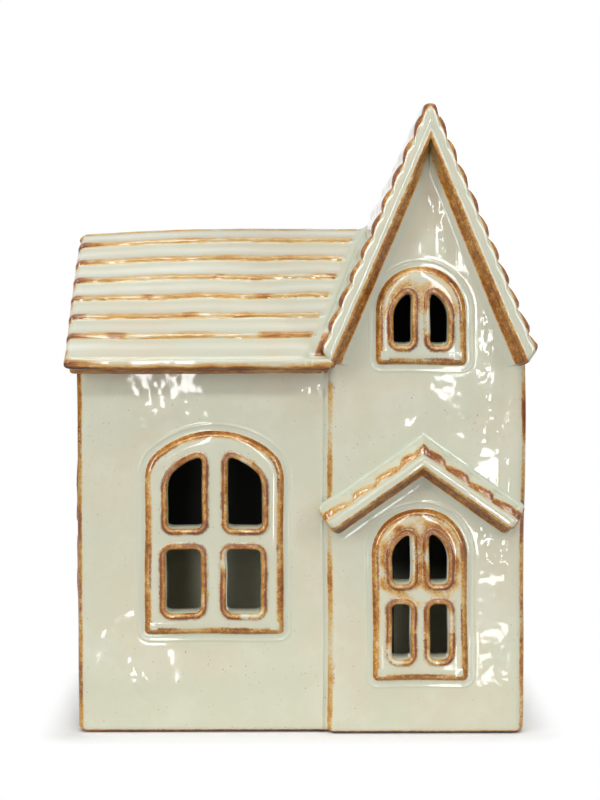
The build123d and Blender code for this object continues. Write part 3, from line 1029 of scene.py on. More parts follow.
# %% Holes and ripples
HOLE_CLEAR = 0.5
RIPPLES = [(-48, 104, 8, 8, 1.0), (-53, 15, 8, 13, 1.6), (4, 109, 3, 2.5, 1.0), (44, 163, 4, 15, 1.0),
           (58, 121, 5, 28, 1.0), (66, 92, 2.5, 7, 0.6), (59, 62, 9, 9, 1.6), (67, 75, 3, 20, 1.2),
           (58, 14, 12, 12, 0.25)]


def pane_holes(across, up, panes):
    """True for each cell whose middle is clear of every pane."""
    mid_across = (across[:-1, :-1] + across[1:, 1:]) / 2
    mid_up = (up[:-1, :-1] + up[1:, 1:]) / 2
    keep = np.ones(mid_up.shape, bool)
    for pane in panes:
        keep &= pane(mid_across, mid_up) > HOLE_CLEAR
    return keep


def ripples(x, z):
    """
    Where the glaze of the fronts ran uneven: soft-edged spots, each a centre, a half width, a half
    height and a strength, over a slight unevenness everywhere.
    """
    total = np.full_like(x, 0.12)
    for middle_x, middle_z, wide, high, strength in RIPPLES:
        far = ((x - middle_x) / wide) ** 2 + ((z - middle_z) / high) ** 2
        total += strength * np.exp(-far ** 2 * 0.7)
    return total


def painted_room_shade(points):
    """The room's side of a closed sheet is its second half; it is painted dark as shade, darker further up
    and towards the right.
    """
    height = points[:, 2] + 14 * ease(points[:, 0], 0, 25)
    return (np.arange(len(points)) >= len(points) // 2) * ease(height, 40, 58)


print("ripple at the strongest spot:", round(float(ripples(np.array([-53.0]), np.array([15.0]))[0]), 2))


# %% [markdown]
# The main front is flat. The wing's front takes its left edge from the plan line, and its top
# follows the gable roof, whose crest line is set here because walls and roofs both need it.


# %% Front walls
STEP = 0.8
WALL_TOP = SOFFIT + 1.2
CREST_APEX = APEX + 4.6
UNDER_CREST = 12.6
TIP_Z = 124.0
GABLE_SLOPE = (CREST_APEX - TIP_Z) / (GABLE_HIGH[0] - PEAK_X)


def make_main_front():
    """A flat grid from the left wall to under the wing's edge."""
    columns = even_steps(INNER_LEFT, WING_LEFT + 0.4, STEP)
    x, z = np.meshgrid(columns, even_steps(BASE_TOP, WALL_TOP, STEP))
    front = together(x, MAIN_FACE, z)
    back = together(x, MAIN_FACE + WALL, z)
    keep = pane_holes(x - MAIN_WINDOW["x"], z - MAIN_WINDOW["sill"], PANES["main_window_surround"])
    points, quads = closed_sheet(front, back, keep)
    uneven = ripples(points[:, 0], points[:, 2])
    return shell(points, quads, inside=painted_room_shade(points), ripple=uneven)


def under_gable(x):
    """Height at which a wall ends under the gable roof, and level under the main roof's eave."""
    return np.maximum(CREST_APEX - UNDER_CREST - GABLE_SLOPE * np.abs(x - PEAK_X), WALL_TOP)


def make_wing_front():
    """The wing's edge in plan, then its face; the top follows the slopes of the gable roof."""
    edge = plan_step()
    face = even_steps(edge[-1, 0], INNER_RIGHT, STEP)[1:]
    plan = np.concatenate([edge, together(face, WING_FACE)])
    share = np.linspace(0, 1, 231)[:, None]
    x = np.broadcast_to(plan[:, 0], (len(share), len(plan)))
    z = BASE_TOP + share * (under_gable(plan[:, 0]) - BASE_TOP)
    front = together(x, plan[:, 1], z)
    inner = np.maximum(plan[:, 0], WING_LEFT)
    back = together(inner, WING_FACE + WALL, z)
    back[:, : len(edge), 1] = np.linspace(MAIN_FACE + 0.5, WING_FACE + WALL, len(edge))
    keep = pane_holes(x - DOOR_WINDOW["x"], z - DOOR_WINDOW["sill"], PANES["door_window_surround"])
    keep &= pane_holes(x - PEAK_WINDOW["x"], z - PEAK_WINDOW["sill"], PANES["gable_window_surround"])
    points, quads = closed_sheet(front, back, keep)
    fade = 1 - ease(points[:, 2], SOFFIT - 6, SOFFIT - 2)
    thin = step_thin(points) * fade
    _, rust, pool = edge_glaze(WING_LEFT - points[:, 0] - 0.4)
    rust = 0.7 * rust * ease(waves(points[:, 2], 37, 62), 0.1, 0.9) * fade
    uneven = ripples(points[:, 0], points[:, 2])
    return shell(points, quads, thin=thin, rust=rust, pool=pool, inside=painted_room_shade(points), ripple=uneven)


add_clay("main_front_wall", WALL_GLAZE, [make_main_front()])
add_clay("wing_front_wall", WALL_GLAZE, [make_wing_front()])


# %% [markdown]
# A side wall is its share of the plan line carried straight up, with the round corners in it. The
# left one rises to a point under the main roof; the right one ends level under the gable roof's
# foot. The glaze broke to amber down the corners, where a potter's thumb smoothed them thin.


# %% Side walls
EAVE_TOP = SOFFIT + 3.2
MAIN_SLOPE = (RIDGE - EAVE_TOP) / REACH
UNDER_RIDGE = 4.5


def make_side(plan, wall, inner_x, face, side, top, inner_top, panes, window):
    """The plan line carried up to the roof, paired with the flat inside of the wall."""
    plan = plan.copy()
    plan[0, 1] -= FLUSH
    plan[-1, 1] += FLUSH
    share = np.linspace(0, 1, 141)[:, None]
    x = np.broadcast_to(plan[:, 0], (len(share), len(plan)))
    y = np.broadcast_to(plan[:, 1], x.shape)
    z = BASE_TOP + share * (top(plan[:, 1]) - BASE_TOP)
    inner_y = np.clip(plan[:, 1], face + RETURN, BACK_FACE - RETURN)
    inner_z = BASE_TOP + share * (inner_top(plan[:, 1]) - BASE_TOP)
    front = together(x, y, z)
    back = together(inner_x, inner_y, inner_z)
    keep = pane_holes(side * y, z - window["sill"], panes)
    flat = np.abs(plan[:, 0] - wall) < 0.01
    keep |= ~(flat[:-1] & flat[1:])[None]
    points, quads = closed_sheet(front, back, keep)
    thin = corner_thin(points, wall, face, side)
    rust = 0.75 * ease(thin, 0.3, 0.6) * ease(waves(points[:, 2], 23, 75 + side), -0.6, 0.5)
    return shell(points, quads, thin=thin, rust=rust, inside=painted_room_shade(points), ripple=0.15)


def under_main(y):
    """Height to which a wall rises inside the main roof, at a depth."""
    return RIDGE - UNDER_RIDGE - MAIN_SLOPE * np.abs(y)


def level(height):
    """A wall's top at one height for every depth."""
    return lambda y: np.full_like(y, height)


LEFT_SHELL = make_side(plan_left(STEP), WALL_LEFT, INNER_LEFT, MAIN_FACE, -1, under_main, under_main,
                       PANES["left_window_surround"], MAIN_WINDOW)
RIGHT_SHELL = make_side(plan_right(STEP), WALL_RIGHT, INNER_RIGHT, WING_FACE, 1, level(SOFFIT + 1.4),
                        level(SOFFIT + 9), PANES["right_window_surround"], MAIN_WINDOW)
add_clay("left_wall", WALL_GLAZE, [LEFT_SHELL])
add_clay("right_wall", WALL_GLAZE, [RIGHT_SHELL])


# %% [markdown]
# The back wall has the arched way in for the tealight. Its edge is rounded over on both faces by a
# section carried along the arch, whose two feet stand in the base.


# %% Back wall
CUP_LOW, CUP_HIGH = box_mm("tealight_cup")
DOORWAY_X = (CUP_LOW[0] + CUP_HIGH[0]) / 2
DOORWAY_HALF = (CUP_HIGH[0] - CUP_LOW[0]) / 2 + 3.0
DOORWAY_TOP = 52.0
ROUND_OUT = 1.6
ROUND_IN = 1.2
BURIED = 2.4


def doorway_distance(across, up):
    """The arched opening as a signed distance, running on down below the floor."""
    return arch_distance(across, up, DOORWAY_HALF, DOORWAY_TOP, DOORWAY_HALF)


def back_sheet():
    """A flat grid under both roofs, less the doorway."""
    x, share = np.meshgrid(even_steps(INNER_LEFT, INNER_RIGHT, 1.0), np.linspace(0, 1, 201))
    z = BASE_TOP + share * (under_gable(x) - BASE_TOP)
    front = together(x, BACK_FACE, z)
    back = together(x, BACK_FACE - WALL, z)
    keep = pane_holes(x - DOORWAY_X, z - BASE_TOP, [lambda across, up: doorway_distance(across, up) - 0.6])
    points, quads = closed_sheet(front, back, keep)
    return shell(points, quads, inside=painted_room_shade(points), ripple=0.15)


def doorway_edge():
    """The doorway's edge, rounded over on both faces: a section carried up, over and down the arch."""
    spring = DOORWAY_TOP - DOORWAY_HALF
    legs = even_steps(-0.6, spring, 1.0)
    angles = np.linspace(0, math.pi, 60)[1:-1]
    line = np.concatenate([
        together(DOORWAY_HALF, legs),
        together(DOORWAY_HALF * np.cos(angles), spring + DOORWAY_HALF * np.sin(angles)),
        together(-DOORWAY_HALF, legs[::-1]),
    ])
    out = np.concatenate([
        np.tile([[1.0, 0]], (len(legs), 1)), together(np.cos(angles), np.sin(angles)),
        np.tile([[-1.0, 0]], (len(legs), 1)),
    ])
    quarter = np.radians(np.linspace(90, 0, 8))
    outer = together(ROUND_OUT - ROUND_OUT * np.cos(quarter), ROUND_OUT * (np.sin(quarter) - 1))
    quarter = quarter[::-1]
    inner = together(ROUND_IN - ROUND_IN * np.cos(quarter), -WALL + ROUND_IN * (1 - np.sin(quarter)))
    ends = ([[BURIED, FLUSH]], [[BURIED, -WALL - FLUSH]])
    section = np.concatenate([ends[0], outer + [0, FLUSH], inner - [0, FLUSH], ends[1]])
    count, size = len(line), len(section)
    points = np.zeros((count, size, 3))
    points[..., 0] = DOORWAY_X - (line[:, None, 0] + section[None, :, 0] * out[:, None, 0])
    points[..., 1] = BACK_FACE + section[None, :, 1]
    points[..., 2] = BASE_TOP + line[:, None, 1] + section[None, :, 0] * out[:, None, 1]
    half = np.arange(size // 2 - 1)
    loops = np.arange(count * size).reshape(count, size)[[0, -1]]
    feet = [together(loop[half], loop[half + 1], loop[-half - 2], loop[-half - 1]) for loop in loops]
    distance = np.tile(section[:, 0], count)
    thin = 0.72 * (1 - ease(distance, 0.9, 1.8)) * (np.tile(section[:, 1], count) > -WALL + 1)
    # Painted shade: the doorway's inner rounding is painted near-black, as the room.
    inside = np.tile(section[:, 1], count) < -WALL + 0.8
    faces = np.concatenate([ring_quads(count, size), *feet])
    return shell(points.reshape(-1, 3), faces, thin=thin, rust=0.5 * (thin > 0.3), inside=inside)


add_clay("back_wall", WALL_GLAZE, [back_sheet(), doorway_edge()])


# %% [markdown]
# Roofs. The main roof's slope is a profile in depth and height, carried along the ridge's
# direction. Each course of planks is a shallow hollow that climbs to a round lip, and the lip's
# line wanders, because it was pressed by hand. Towards the gable the lips die out in a smooth
# valley, and at the free end the whole section draws in to a soft edge.


# %% Grid and courses of the main roof
COURSES = 7
LIP = 1.25
RIDGE_SOFT = 2.6
END_SOFT = 2.6
EAVE_ROUND = 0.9
DRAW_MOST = 2.4
ROOF_FALL = (RIDGE - EAVE_TOP) / (math.hypot(REACH, RIDGE_SOFT) - RIDGE_SOFT)
ROOF_THICK = 5.0


def valley_x(height):
    """Where the main roof runs into the gable roof, at a height."""
    return PEAK_X - (CREST_APEX - height) / GABLE_SLOPE


def roof_grid():
    """Columns along the ridge, closer in the valley, and rows down the slope, closer at each lip."""
    low, high = valley_x(SOFFIT) - 4.0, valley_x(RIDGE) + 8.0
    columns = np.concatenate([
        ROOF_LOW[0] + END_SOFT * (1 - np.cos(np.linspace(0, math.pi / 2, 9))),
        even_steps(ROOF_LOW[0] + END_SOFT, low, 0.9)[1:],
        even_steps(low, high, 0.3)[1:],
        [PEAK_X],
    ])
    at_lips = np.linspace(0, 0.07, 4), np.linspace(0.89, 1, 8)[:-1]
    fine = np.concatenate([at_lips[0], np.linspace(0.12, 0.86, 12), at_lips[1]])
    rows = (np.arange(COURSES)[:, None] + fine).reshape(-1) / COURSES
    return np.meshgrid(columns, np.append(rows, 1.0))


def course(share):
    """Rise of a course over its foot: a hollow climb to the lip, then a round drop. 0 to 1."""
    climb = 0.10 + 0.90 * np.clip(share / 0.90, 0, 1) ** 2.3
    lip_part = np.clip((share - 0.90) / 0.10, 0, 1)
    nose = np.sqrt(np.maximum(1 - lip_part ** 2, 0))
    foot = 0.30 * np.exp(-share / 0.035)
    return climb * nose + foot * (share < 0.5)


def course_number(x, share):
    """Courses down to each point, counted with the part of its own. Their lips wander a little."""
    wander = 0.035 * waves(x, 60, 21) + 0.022 * waves(x + 31 * np.floor(share * COURSES), 34, 22)
    middle = np.sin(math.pi * np.clip(share, 0, 1))
    return np.clip(share * COURSES + wander * middle, 0, COURSES - 1e-6)


print("the roof's grid:", roof_grid()[0].shape, "with", COURSES, "courses")


# %% [markdown]
# Each lip broke to amber with a warm halo, and here and there the brown ran into a rusty smear. The
# flats between are whitened as a painted highlight, and each course's foot is greened as painted
# shade under the lip above. Every rule is written by the place in the course.


# %% Glaze on the planks
def spots(x, number):
    """Stretches of a lip where the glaze ran rusty, as soft 0 to 1 along each course."""
    return 0.9 * ease(waves(x + 23 * np.floor(number), 40, 26), 0.75, 1.25)


def plank_glaze(x, y, depth, number, to_gable):
    """
    Amber lips with a warm halo, rusty smears, an amber free end and valley foot. The glaze pools
    green in the valley. The green at each course's foot is painted shade under the lip above, and the
    white on the planks' flats is a painted highlight.
    """
    part = number - np.floor(number)
    above = np.floor(number) < COURSES - 1
    from_end = x - ROOF_LOW[0]
    on_lip = ease(part, 0.80, 0.90) * above + 0.9 * (1 - ease(part, 0.02, 0.05)) * (number > 0.5)
    under_lip = (1 - ease(part, 0.02, 0.12)) * (number > 0.5)
    halo = 0.43 * np.maximum(ease(part, 0.44, 0.88) * above, under_lip)
    thin = np.maximum(0.52 * on_lip, halo)
    ends = np.exp(-from_end / 8.0)
    smear = ease(part, 0.66, 0.86) * above * np.clip(ends * 1.3 + spots(x, number), 0, 1)
    gap = 0.90 + 0.12 * waves(x + 17 * np.floor(number), 33, 24)
    thin = np.maximum(thin * gap, 0.74 * smear) * ease(to_gable, 2.6, 4.2)
    thin = np.maximum(thin, 0.66 * (1 - ease(from_end, 0.4, 2.2)) * (0.75 + 0.3 * waves(y, 9, 25)))
    thin = np.maximum(thin, 0.42 * (1 - ease(depth, 0.4, 1.4)))
    foot_spot = (1 - ease(to_gable, 0.0, 1.5)) * band(depth, 43.5, 46, 52, 53)
    thin = np.maximum(thin, 0.70 * foot_spot)
    rust = np.clip(0.4 * ends * on_lip + 0.35 * smear + 0.4 * foot_spot, 0, 1)
    # Painted shade: green at each course's foot, under the lip above; the valley's green is pooled glaze.
    pool = (0.6 * (part < 0.2) + ease(4 - to_gable, 0, 3)) * (1 - foot_spot)
    # Painted highlight: the white middle of each plank.
    pool = pool - 0.95 * np.exp(-((part - 0.45) / 0.17) ** 2) * ease(to_gable, 1.6, 4.4)
    return thin, rust, pool


RUSTY = spots(np.linspace(ROOF_LOW[0], 0, 200), 2.0) > 0.1
print("rusty share of the third lip:", round(float(np.mean(RUSTY)), 2))


# %% [markdown]
# The roof's outside is the planked slope and the rounded eave below it. Its inside runs back under
# the soffit, up the joint with the wall and on up over the room. The cells past the valley, inside
# the gable roof, are left out.


# %% Main roof
def planks(x, share, soft, side):
    """The planked slope: points and glaze. Soft says how far the free end has drawn in."""
    number = course_number(x, share)
    part = number - np.floor(number)
    depth = share * (REACH - EAVE_ROUND)
    height = RIDGE - ROOF_FALL * (np.hypot(depth, RIDGE_SOFT) - RIDGE_SOFT)
    last = np.floor(number) == COURSES - 1
    rise = np.where(last, 0.10 + 0.75 * part ** 1.6, course(part))
    to_gable = valley_x(height) - x
    rise = 0.25 + (rise - 0.25) * ease(to_gable, 1.6, 4.4)
    fillet = np.clip(1 - to_gable / 3.0, 0, 1.0) * (1 - ease(depth, 43, 50))
    lift = -LIP * (1 - rise) + 1.7 * fillet ** 2 - soft
    lean = math.atan(ROOF_FALL)
    y = side * (depth + lift * math.sin(lean))
    z = height + lift * math.cos(lean)
    return together(x, y, z), plank_glaze(x, y, depth, number, to_gable)


def eave(x, soft, side):
    """The eave below the last course: a quarter round, then the fascia, with its glaze."""
    around = np.linspace(0, 1, 9)[1:] * math.pi / 2
    nose_y = (REACH - EAVE_ROUND) + EAVE_ROUND * np.sin(around)
    nose_z = EAVE_TOP - EAVE_ROUND * (1 - np.cos(around)) - 0.15
    face_y = np.array([REACH, REACH, REACH - 0.15, REACH - 0.6])
    face_z = np.array([EAVE_TOP - 1.6, SOFFIT + 1.0, SOFFIT + 0.35, SOFFIT + 0.02])
    front_y = np.concatenate([nose_y, face_y])[:, None]
    front_z = np.concatenate([nose_z, face_z])[:, None]
    draw = np.minimum(soft, DRAW_MOST)
    z = front_z + draw * (SOFFIT + 1.4 - front_z) / 1.9 * 0.55
    points = together(x, side * (front_y - draw), z)
    down = EAVE_TOP - front_z
    thin = 0.14 + 0.34 * ease(down, 0.4, 2.2) + 0.34 * ease(down, 2.3, 3.1)
    thin = thin * (0.95 + 0.16 * waves(x, 33, 27)) + 0.5 * np.exp(-(x - ROOF_LOW[0]) / 9)
    rust = np.broadcast_to(0.5 * np.exp(-(x - ROOF_LOW[0]) / 12), thin.shape)
    return points, (thin, rust, np.zeros_like(thin))


def roof_underside(x, soft, side, rows):
    """From the eave in under the soffit, up the joint at the wall, and up the room's slope."""
    face = -MAIN_FACE if side < 0 else BACK_FACE
    under_y = np.array([REACH - 1.4, REACH - 3.5, face + 2.6, face + 1.2, face + 0.35, face + FLUSH,
                        face - 0.8, face - 1.2, face - WALL])
    under_z = SOFFIT + np.array([0, 0.05, 0.0, -0.3, -0.95, -2.0, -2.0, 1.5, 4.5])
    inner = even_steps(face - WALL - 1, 0, 3)
    inner_z = RIDGE - ROOF_THICK * math.hypot(1, MAIN_SLOPE) - MAIN_SLOPE * inner
    spot = np.linspace(0, 1, rows)[::-1]
    given = np.linspace(0, 1, len(under_y) + len(inner))
    y = np.interp(spot, given, np.concatenate([under_y, inner]))[:, None]
    z = np.interp(spot, given, np.concatenate([under_z, inner_z]))[:, None]
    draw = np.minimum(soft, DRAW_MOST)
    bottom = together(x + draw * 0.5, side * y, z + draw * 0.7)
    # Painted shade: under the roof, over the room, the glaze is painted near-black.
    room_shade_mask = (np.abs(bottom[..., 1]) < face - WALL / 2) & (bottom[..., 0] > INNER_LEFT - 1)
    return bottom, room_shade_mask


def make_main_roof(side):
    """One slope; side is -1 for the front and 1 for the back. Rows run down the slope."""
    x, share = roof_grid()
    to_full = np.clip(END_SOFT - (x - ROOF_LOW[0]), 0, END_SOFT)
    soft = END_SOFT - np.sqrt(np.maximum(END_SOFT ** 2 - to_full ** 2, 0))
    slope, slope_glaze = planks(x, share, soft, side)
    edge, edge_glaze_values = eave(x[0], soft[0], side)
    top = np.concatenate([slope, edge])
    thin, rust, pool = [np.concatenate(pair) for pair in zip(slope_glaze, edge_glaze_values)]
    bottom, room_shade_mask = roof_underside(x[0], soft[0], side, len(top))
    low = 1 - ease(top[..., 2], SOFFIT + 5, SOFFIT + 9)
    before_gable = top[..., 0] < valley_x(top[..., 2]) + 4.0 + 2.0 * low
    top[..., 1] -= side * 0.3 * ease(top[..., 0], 0.5, 4.0) * (np.abs(top[..., 1]) > REACH - 3)
    points, quads = closed_sheet(top, bottom, before_gable[:-1, :-1])
    blank = np.zeros(room_shade_mask.size)
    # Painted shade in part: the whole underside is amber, glaze gone thin that also stands in for the shade
    # under the eave.
    return shell(points, quads, thin=np.append(thin, blank + 0.64), rust=np.append(rust, blank),
                 pool=np.append(pool, blank), inside=np.append(blank, room_shade_mask.reshape(-1)))


add_clay("main_roof_front", ROOF_GLAZE, [make_main_roof(-1)])
add_clay("main_roof_back", ROOF_GLAZE, [make_main_roof(1)])


# %% [markdown]
# The gable roof's two slopes and the canopy's are slabs that run down a slope. Their section lies
# across the slope: how deep in the house, and how high over a line down the slope. Carried down
# that line, with scalloped courses pressed into its outside, it gives the barge edge with its
# round front, the soffit, and the smeared hollow where slab meets wall.


# %% Scallops
def scallop(share):
    """Rise of a scallop over its notch: it bulges out soon, and turns in sharply at its foot."""
    swell = np.sin(math.pi / 2 * np.clip(share / 0.78, 0, 1))
    drop = np.clip((share - 0.78) / 0.22, 0, 1)
    return swell * np.sqrt(np.maximum(1 - drop ** 1.6, 0))


def scallop_rows(first, pitch, count, seed, reach):
    """
    Rows for a run of scallops, from the peak to reach: how far down the slope each row lies, and
    its part of its scallop. The notches lie a little unevenly, as they do when they are cut by eye.
    """
    fine = np.concatenate([np.linspace(0, 0.74, 11), np.linspace(0.79, 1, 8)[:-1]])
    notches = first + pitch * np.arange(-2, count)
    notches = notches + np.random.default_rng(seed).uniform(-0.03, 0.03, len(notches)) * pitch
    number = (np.arange(count + 1)[:, None] + fine).reshape(-1)
    travel = np.interp(number, np.arange(count + 2), notches)
    used = (travel > 0.3) & (travel < reach - 0.3)
    travel = np.concatenate([[0], travel[used], [reach]])
    return travel, np.concatenate([[0.5], number[used] % 1, [0.7]])


print("a scallop's rise at its notch, belly and foot:", np.round(scallop(np.array([0, 0.7, 1.0])), 2))


# %% [markdown]
# Bending a finished slab would squeeze its section. Instead every section is placed down the slope
# by itself: the two slopes meet on the plane under the peak, and the lower end is closed by drawing
# the last section in over a quarter circle.


# %% Slabs that run down a slope
def drawn_in(top, bottom, amount):
    """A closed section, given as its outside and its inside, with every edge moved inwards."""
    loop = np.concatenate([top, bottom[::-1]])
    along = np.roll(loop, -1, 0) - np.roll(loop, 1, 0)
    inward = together(along[:, 1], -along[:, 0])
    inward /= np.maximum(np.linalg.norm(inward, axis=1, keepdims=True), 1e-9)
    moved = loop + amount * inward
    return moved[: len(top)], moved[len(top):][::-1]


def down_the_slope(side, peak, tilt, length, travel, offset, extra, crown):
    """
    Places offsets over a line that falls from a peak: travel runs down, offset stands square to it.
    Near the peak the travel stretches so that both slopes meet on the middle plane, and the crown
    rounds the top over with a circle.
    """
    cosine, sine = math.cos(tilt), math.sin(tilt)
    share = np.clip(travel / length, 0, 1)[:, None]
    along = travel[:, None] - offset * math.tan(tilt) * (1 - share) + extra
    x = np.maximum(along * cosine + offset * sine, 0)
    z = offset * cosine - along * sine
    radius = np.maximum(crown + offset, 0)
    arc = np.sqrt(np.maximum(radius ** 2 - x ** 2, 0)) - crown / cosine
    return peak[0] + side * x, peak[1] + np.where(x < radius * sine, arc, z)


def slope_slab(side, peak, tilt, length, travel, top, bottom, soft, close, slant=None, crown=0.0):
    """
    A slab from sections that may differ from row to row, with a rounded lower end, where close
    gives the last section for each angle of a quarter circle. Returns the outside and the inside
    grid, and how far down each row lies.
    """
    angles = np.linspace(0, math.pi / 2, 9)[1:]
    ends = [close(top[-1], bottom[-1], soft, angle) for angle in angles]
    travel = np.concatenate([travel, length - soft + soft * np.sin(angles)])
    grids = []
    for section, caps in ((top, [end[0] for end in ends]), (bottom, [end[1] for end in ends])):
        section = np.concatenate([section, np.array(caps)])
        offset = section[..., 1]
        extra = 0.0 if slant is None else slant(offset, travel[:, None] / length)
        x, z = down_the_slope(side, peak, tilt, length, travel, offset, extra, crown)
        grids.append(together(x, section[..., 0], z))
    return grids[0], grids[1], travel


PEAK = down_the_slope(1, (0, 0), math.radians(45), 10.0, np.array([0.0]), np.zeros((1, 1)), 0.0, 0.0)
print("a slope starts at its peak:", float(PEAK[0][0, 0]), float(PEAK[1][0, 0]))


# %% [markdown]
# On the real house each gable slope is a thick strip of clay with nine scallops cut into its front
# edge, and it reaches down past the wing's wall to a slanted tip. The left strip ends inside the
# main roof, so its cells over the room are left out. The right one isn't a mirrored copy, because
# the two slopes of the hand-made house differ.


# %% Section of the gable roof
SCALLOP_PITCH = 8.46
FIRST_NOTCH = 13.9
SCALLOPS = 9
SCALLOP = 1.15
BAND = 6.2
TIP_SOFT = 1.7
TIP_SLANT = 3.4
APEX_ROUND = 3.0
FRONT_DEEP = 3.0
FRONT_TALL = 4.8
COVER = 1.5


def gable_section():
    """Outside and inside of the gable slab in section, both from front to back."""
    front, wall = -REACH, WING_FACE
    low_y = front + np.array([1.0, 0.5, 0.2, 0.04, 0.0])
    low_n = -BAND + np.array([0.0, 0.06, 0.26, 0.6, 1.1])
    quarter = np.linspace(0, math.pi / 2, 13)
    shoulder_y = front + FRONT_DEEP * (1 - np.cos(quarter))
    shoulder_n = FRONT_TALL * (np.sin(quarter) - 1)
    half_y = np.concatenate([low_y, shoulder_y, even_steps(front + 4.6, -2.0, 3.2)])
    half_n = np.concatenate([low_n, shoulder_n, np.zeros(len(half_y) - len(low_y) - len(shoulder_y))])
    soffit_y = np.array([front + 1.2, front + 2.4, front + 3.8, wall - 2.2, wall - 1.5, wall - 0.9,
                         wall - 0.4, wall - 0.1, wall - FLUSH, wall + 0.6, wall + 1.2, wall + WALL])
    soffit_n = -BAND - np.array([0, 0.06, 0.25, 0.7, 1.0, 1.5, 2.25, 3.1, 4.1, 4.1, 0.3, 0.3])
    room_y = np.linspace(wall + WALL, 0, len(half_y) - len(soffit_y) + 2)[1:-1]
    room_n = np.full_like(room_y, -BAND - 0.3)
    under_y = np.concatenate([soffit_y, room_y])
    under_n = np.concatenate([soffit_n, room_n])
    sections = []
    for depth, offset, middle in ((half_y, half_n, 0), (under_y, under_n, under_n[-1])):
        whole_y = np.concatenate([depth, [0], -depth[::-1]])
        sections.append(together(whole_y, np.concatenate([offset, [middle], offset[::-1]])))
    return sections


def close_free(top, bottom, soft, angle):
    """The end of a slab that hangs free: the section drawn in, its hollow at the wall fading out."""
    top, bottom = drawn_in(top, bottom, soft * (1 - math.cos(angle)))
    bottom = bottom.copy()
    flat = np.maximum(bottom[:, 1], -BAND - 0.2)
    bottom[:, 1] += (flat - bottom[:, 1]) * math.sin(angle)
    return top, bottom


def tip_slant(offset, share):
    """The lower end is cut askew: the inside reaches further down than the outside."""
    return np.clip(-offset / BAND, 0, 1) * TIP_SLANT * ease(share, 0.75, 1.0)


print("the gable roof's section:", [len(line) for line in gable_section()], "points out and in")


# %% [markdown]
# On its front edge the glaze broke to brown along the scallops, stayed cream on the flat below them
# and turned amber at the inner edge. Seen from below, the soffit is brown all the way: partly glaze
# gone thin, partly painted shade under the overhang.


# %% Gable roof
def gable_glaze(top, bottom, travel, part, side):
    """Brown along the scalloped rim, a cream front, an amber inner edge, and a brown soffit, partly painted
    shade.
    """
    across, offset = top[..., 0], top[..., 1]
    on_front = ease(np.abs(across), REACH - 4.2, REACH - 2.8)
    rim = 1 - ease(-offset, 1.2, 2.0)
    notch = ease(part, 0.45, 0.80)[:, None]
    strength = 0.66 + 0.08 * waves(travel, 19, 33 + side)[:, None]
    behind = (1 - on_front) * 0.60 * ease(part, 0.66, 0.86)[:, None]
    outer = rim * (on_front * (strength + 0.14 * notch) + behind)
    inner_edge = ease(-offset, BAND - 1.5, BAND - 0.9)
    thin = np.maximum(outer, (0.64 + 0.05 * waves(travel, 23, 35 + side)[:, None]) * inner_edge)
    rust = rim * on_front * (0.15 + 0.55 * notch)
    pool = ease(-offset, 3.8, 4.6) * (1 - inner_edge)
    at_wall = np.abs(bottom[..., 0])
    # Painted shade in part: the soffit's brown also stands in for the shade under the overhang.
    soffit = 0.71 * ease(at_wall, -WING_FACE + 0.3, -WING_FACE + 0.9)
    soffit = soffit * (0.62 + 0.38 * ease(travel, 5, 16)[:, None])
    over = PEAK_X + side * travel * math.cos(math.atan(GABLE_SLOPE))
    # Painted shade: over the room the underside is painted near-black.
    room_shade_mask = (at_wall < -WING_FACE - WALL / 2) & (over < INNER_RIGHT + 1)[:, None]
    wet = at_wall < -WING_FACE + 0.4
    pairs = ((thin, soffit), (rust, 0.1 * soffit), (pool, wet), (0 * thin, room_shade_mask))
    return [np.concatenate(pair).reshape(-1) for pair in pairs]


def lengthened(rows, count):
    """The rows with the last one repeated, so that they pair with a slab's rounded end."""
    return np.concatenate([rows, np.repeat(rows[-1:], count, 0)])


def make_gable_roof(side):
    """One slope; side is -1 for the left and 1 for the right."""
    run = (GABLE_HIGH[0] - PEAK_X) if side > 0 else (PEAK_X - GABLE_LOW[0])
    tilt = math.atan2(CREST_APEX - TIP_Z, run)
    length = math.hypot(run, CREST_APEX - TIP_Z)
    reach = length - TIP_SOFT
    travel, part = scallop_rows(FIRST_NOTCH, SCALLOP_PITCH, SCALLOPS + 1, 31 + side, reach)
    rise = np.maximum(scallop(part), 1 - ease(travel, 4, 10))
    top, bottom = gable_section()
    top = np.repeat(top[None], len(travel), 0)
    bottom = np.repeat(bottom[None], len(travel), 0)
    fade = np.clip(1 + top[..., 1] / 2.6, 0, 1)
    top[..., 1] -= SCALLOP * (1 - rise[:, None]) * fade
    coved = bottom[..., 1] < -BAND - 0.5
    bottom[..., 1] *= 1 + 0.10 * (travel / length)[:, None] * coved
    peak = (PEAK_X, CREST_APEX)
    outside, inside, travel = slope_slab(side, peak, tilt, length, travel, top, bottom, TIP_SOFT,
                                         close_free, tip_slant, APEX_ROUND)
    grow = len(travel) - len(part)
    part = np.append(part, np.full(grow, 0.85))
    top, bottom = lengthened(top, grow), lengthened(bottom, grow)
    thin, rust, pool, room_shade_mask = gable_glaze(top, bottom, travel, part, side)
    keep = None
    if side < 0:
        middle = (outside[:-1, :-1] + outside[1:, 1:]) / 2
        over_room = np.abs(middle[..., 1]) < -WING_FACE - 2.5
        keep = ~(over_room & (middle[..., 2] < under_main(middle[..., 1]) - COVER))
    points, quads = closed_sheet(outside, inside, keep)
    return shell(points, quads, thin=thin, rust=rust, pool=pool, inside=room_shade_mask)


add_clay("gable_roof_left", SLAB_GLAZE, [make_gable_roof(-1)])
add_clay("gable_roof_right", SLAB_GLAZE, [make_gable_roof(1)])


# %% [markdown]
# The canopy is a slab of the same kind on the wing's face, lower at its front edge than at the
# wall. Its shingles stand a little over the front rail, so their ends draw a stepped line. Four
# scallops to a side are pressed in by the same rows as on the gable, so no new tool is needed.


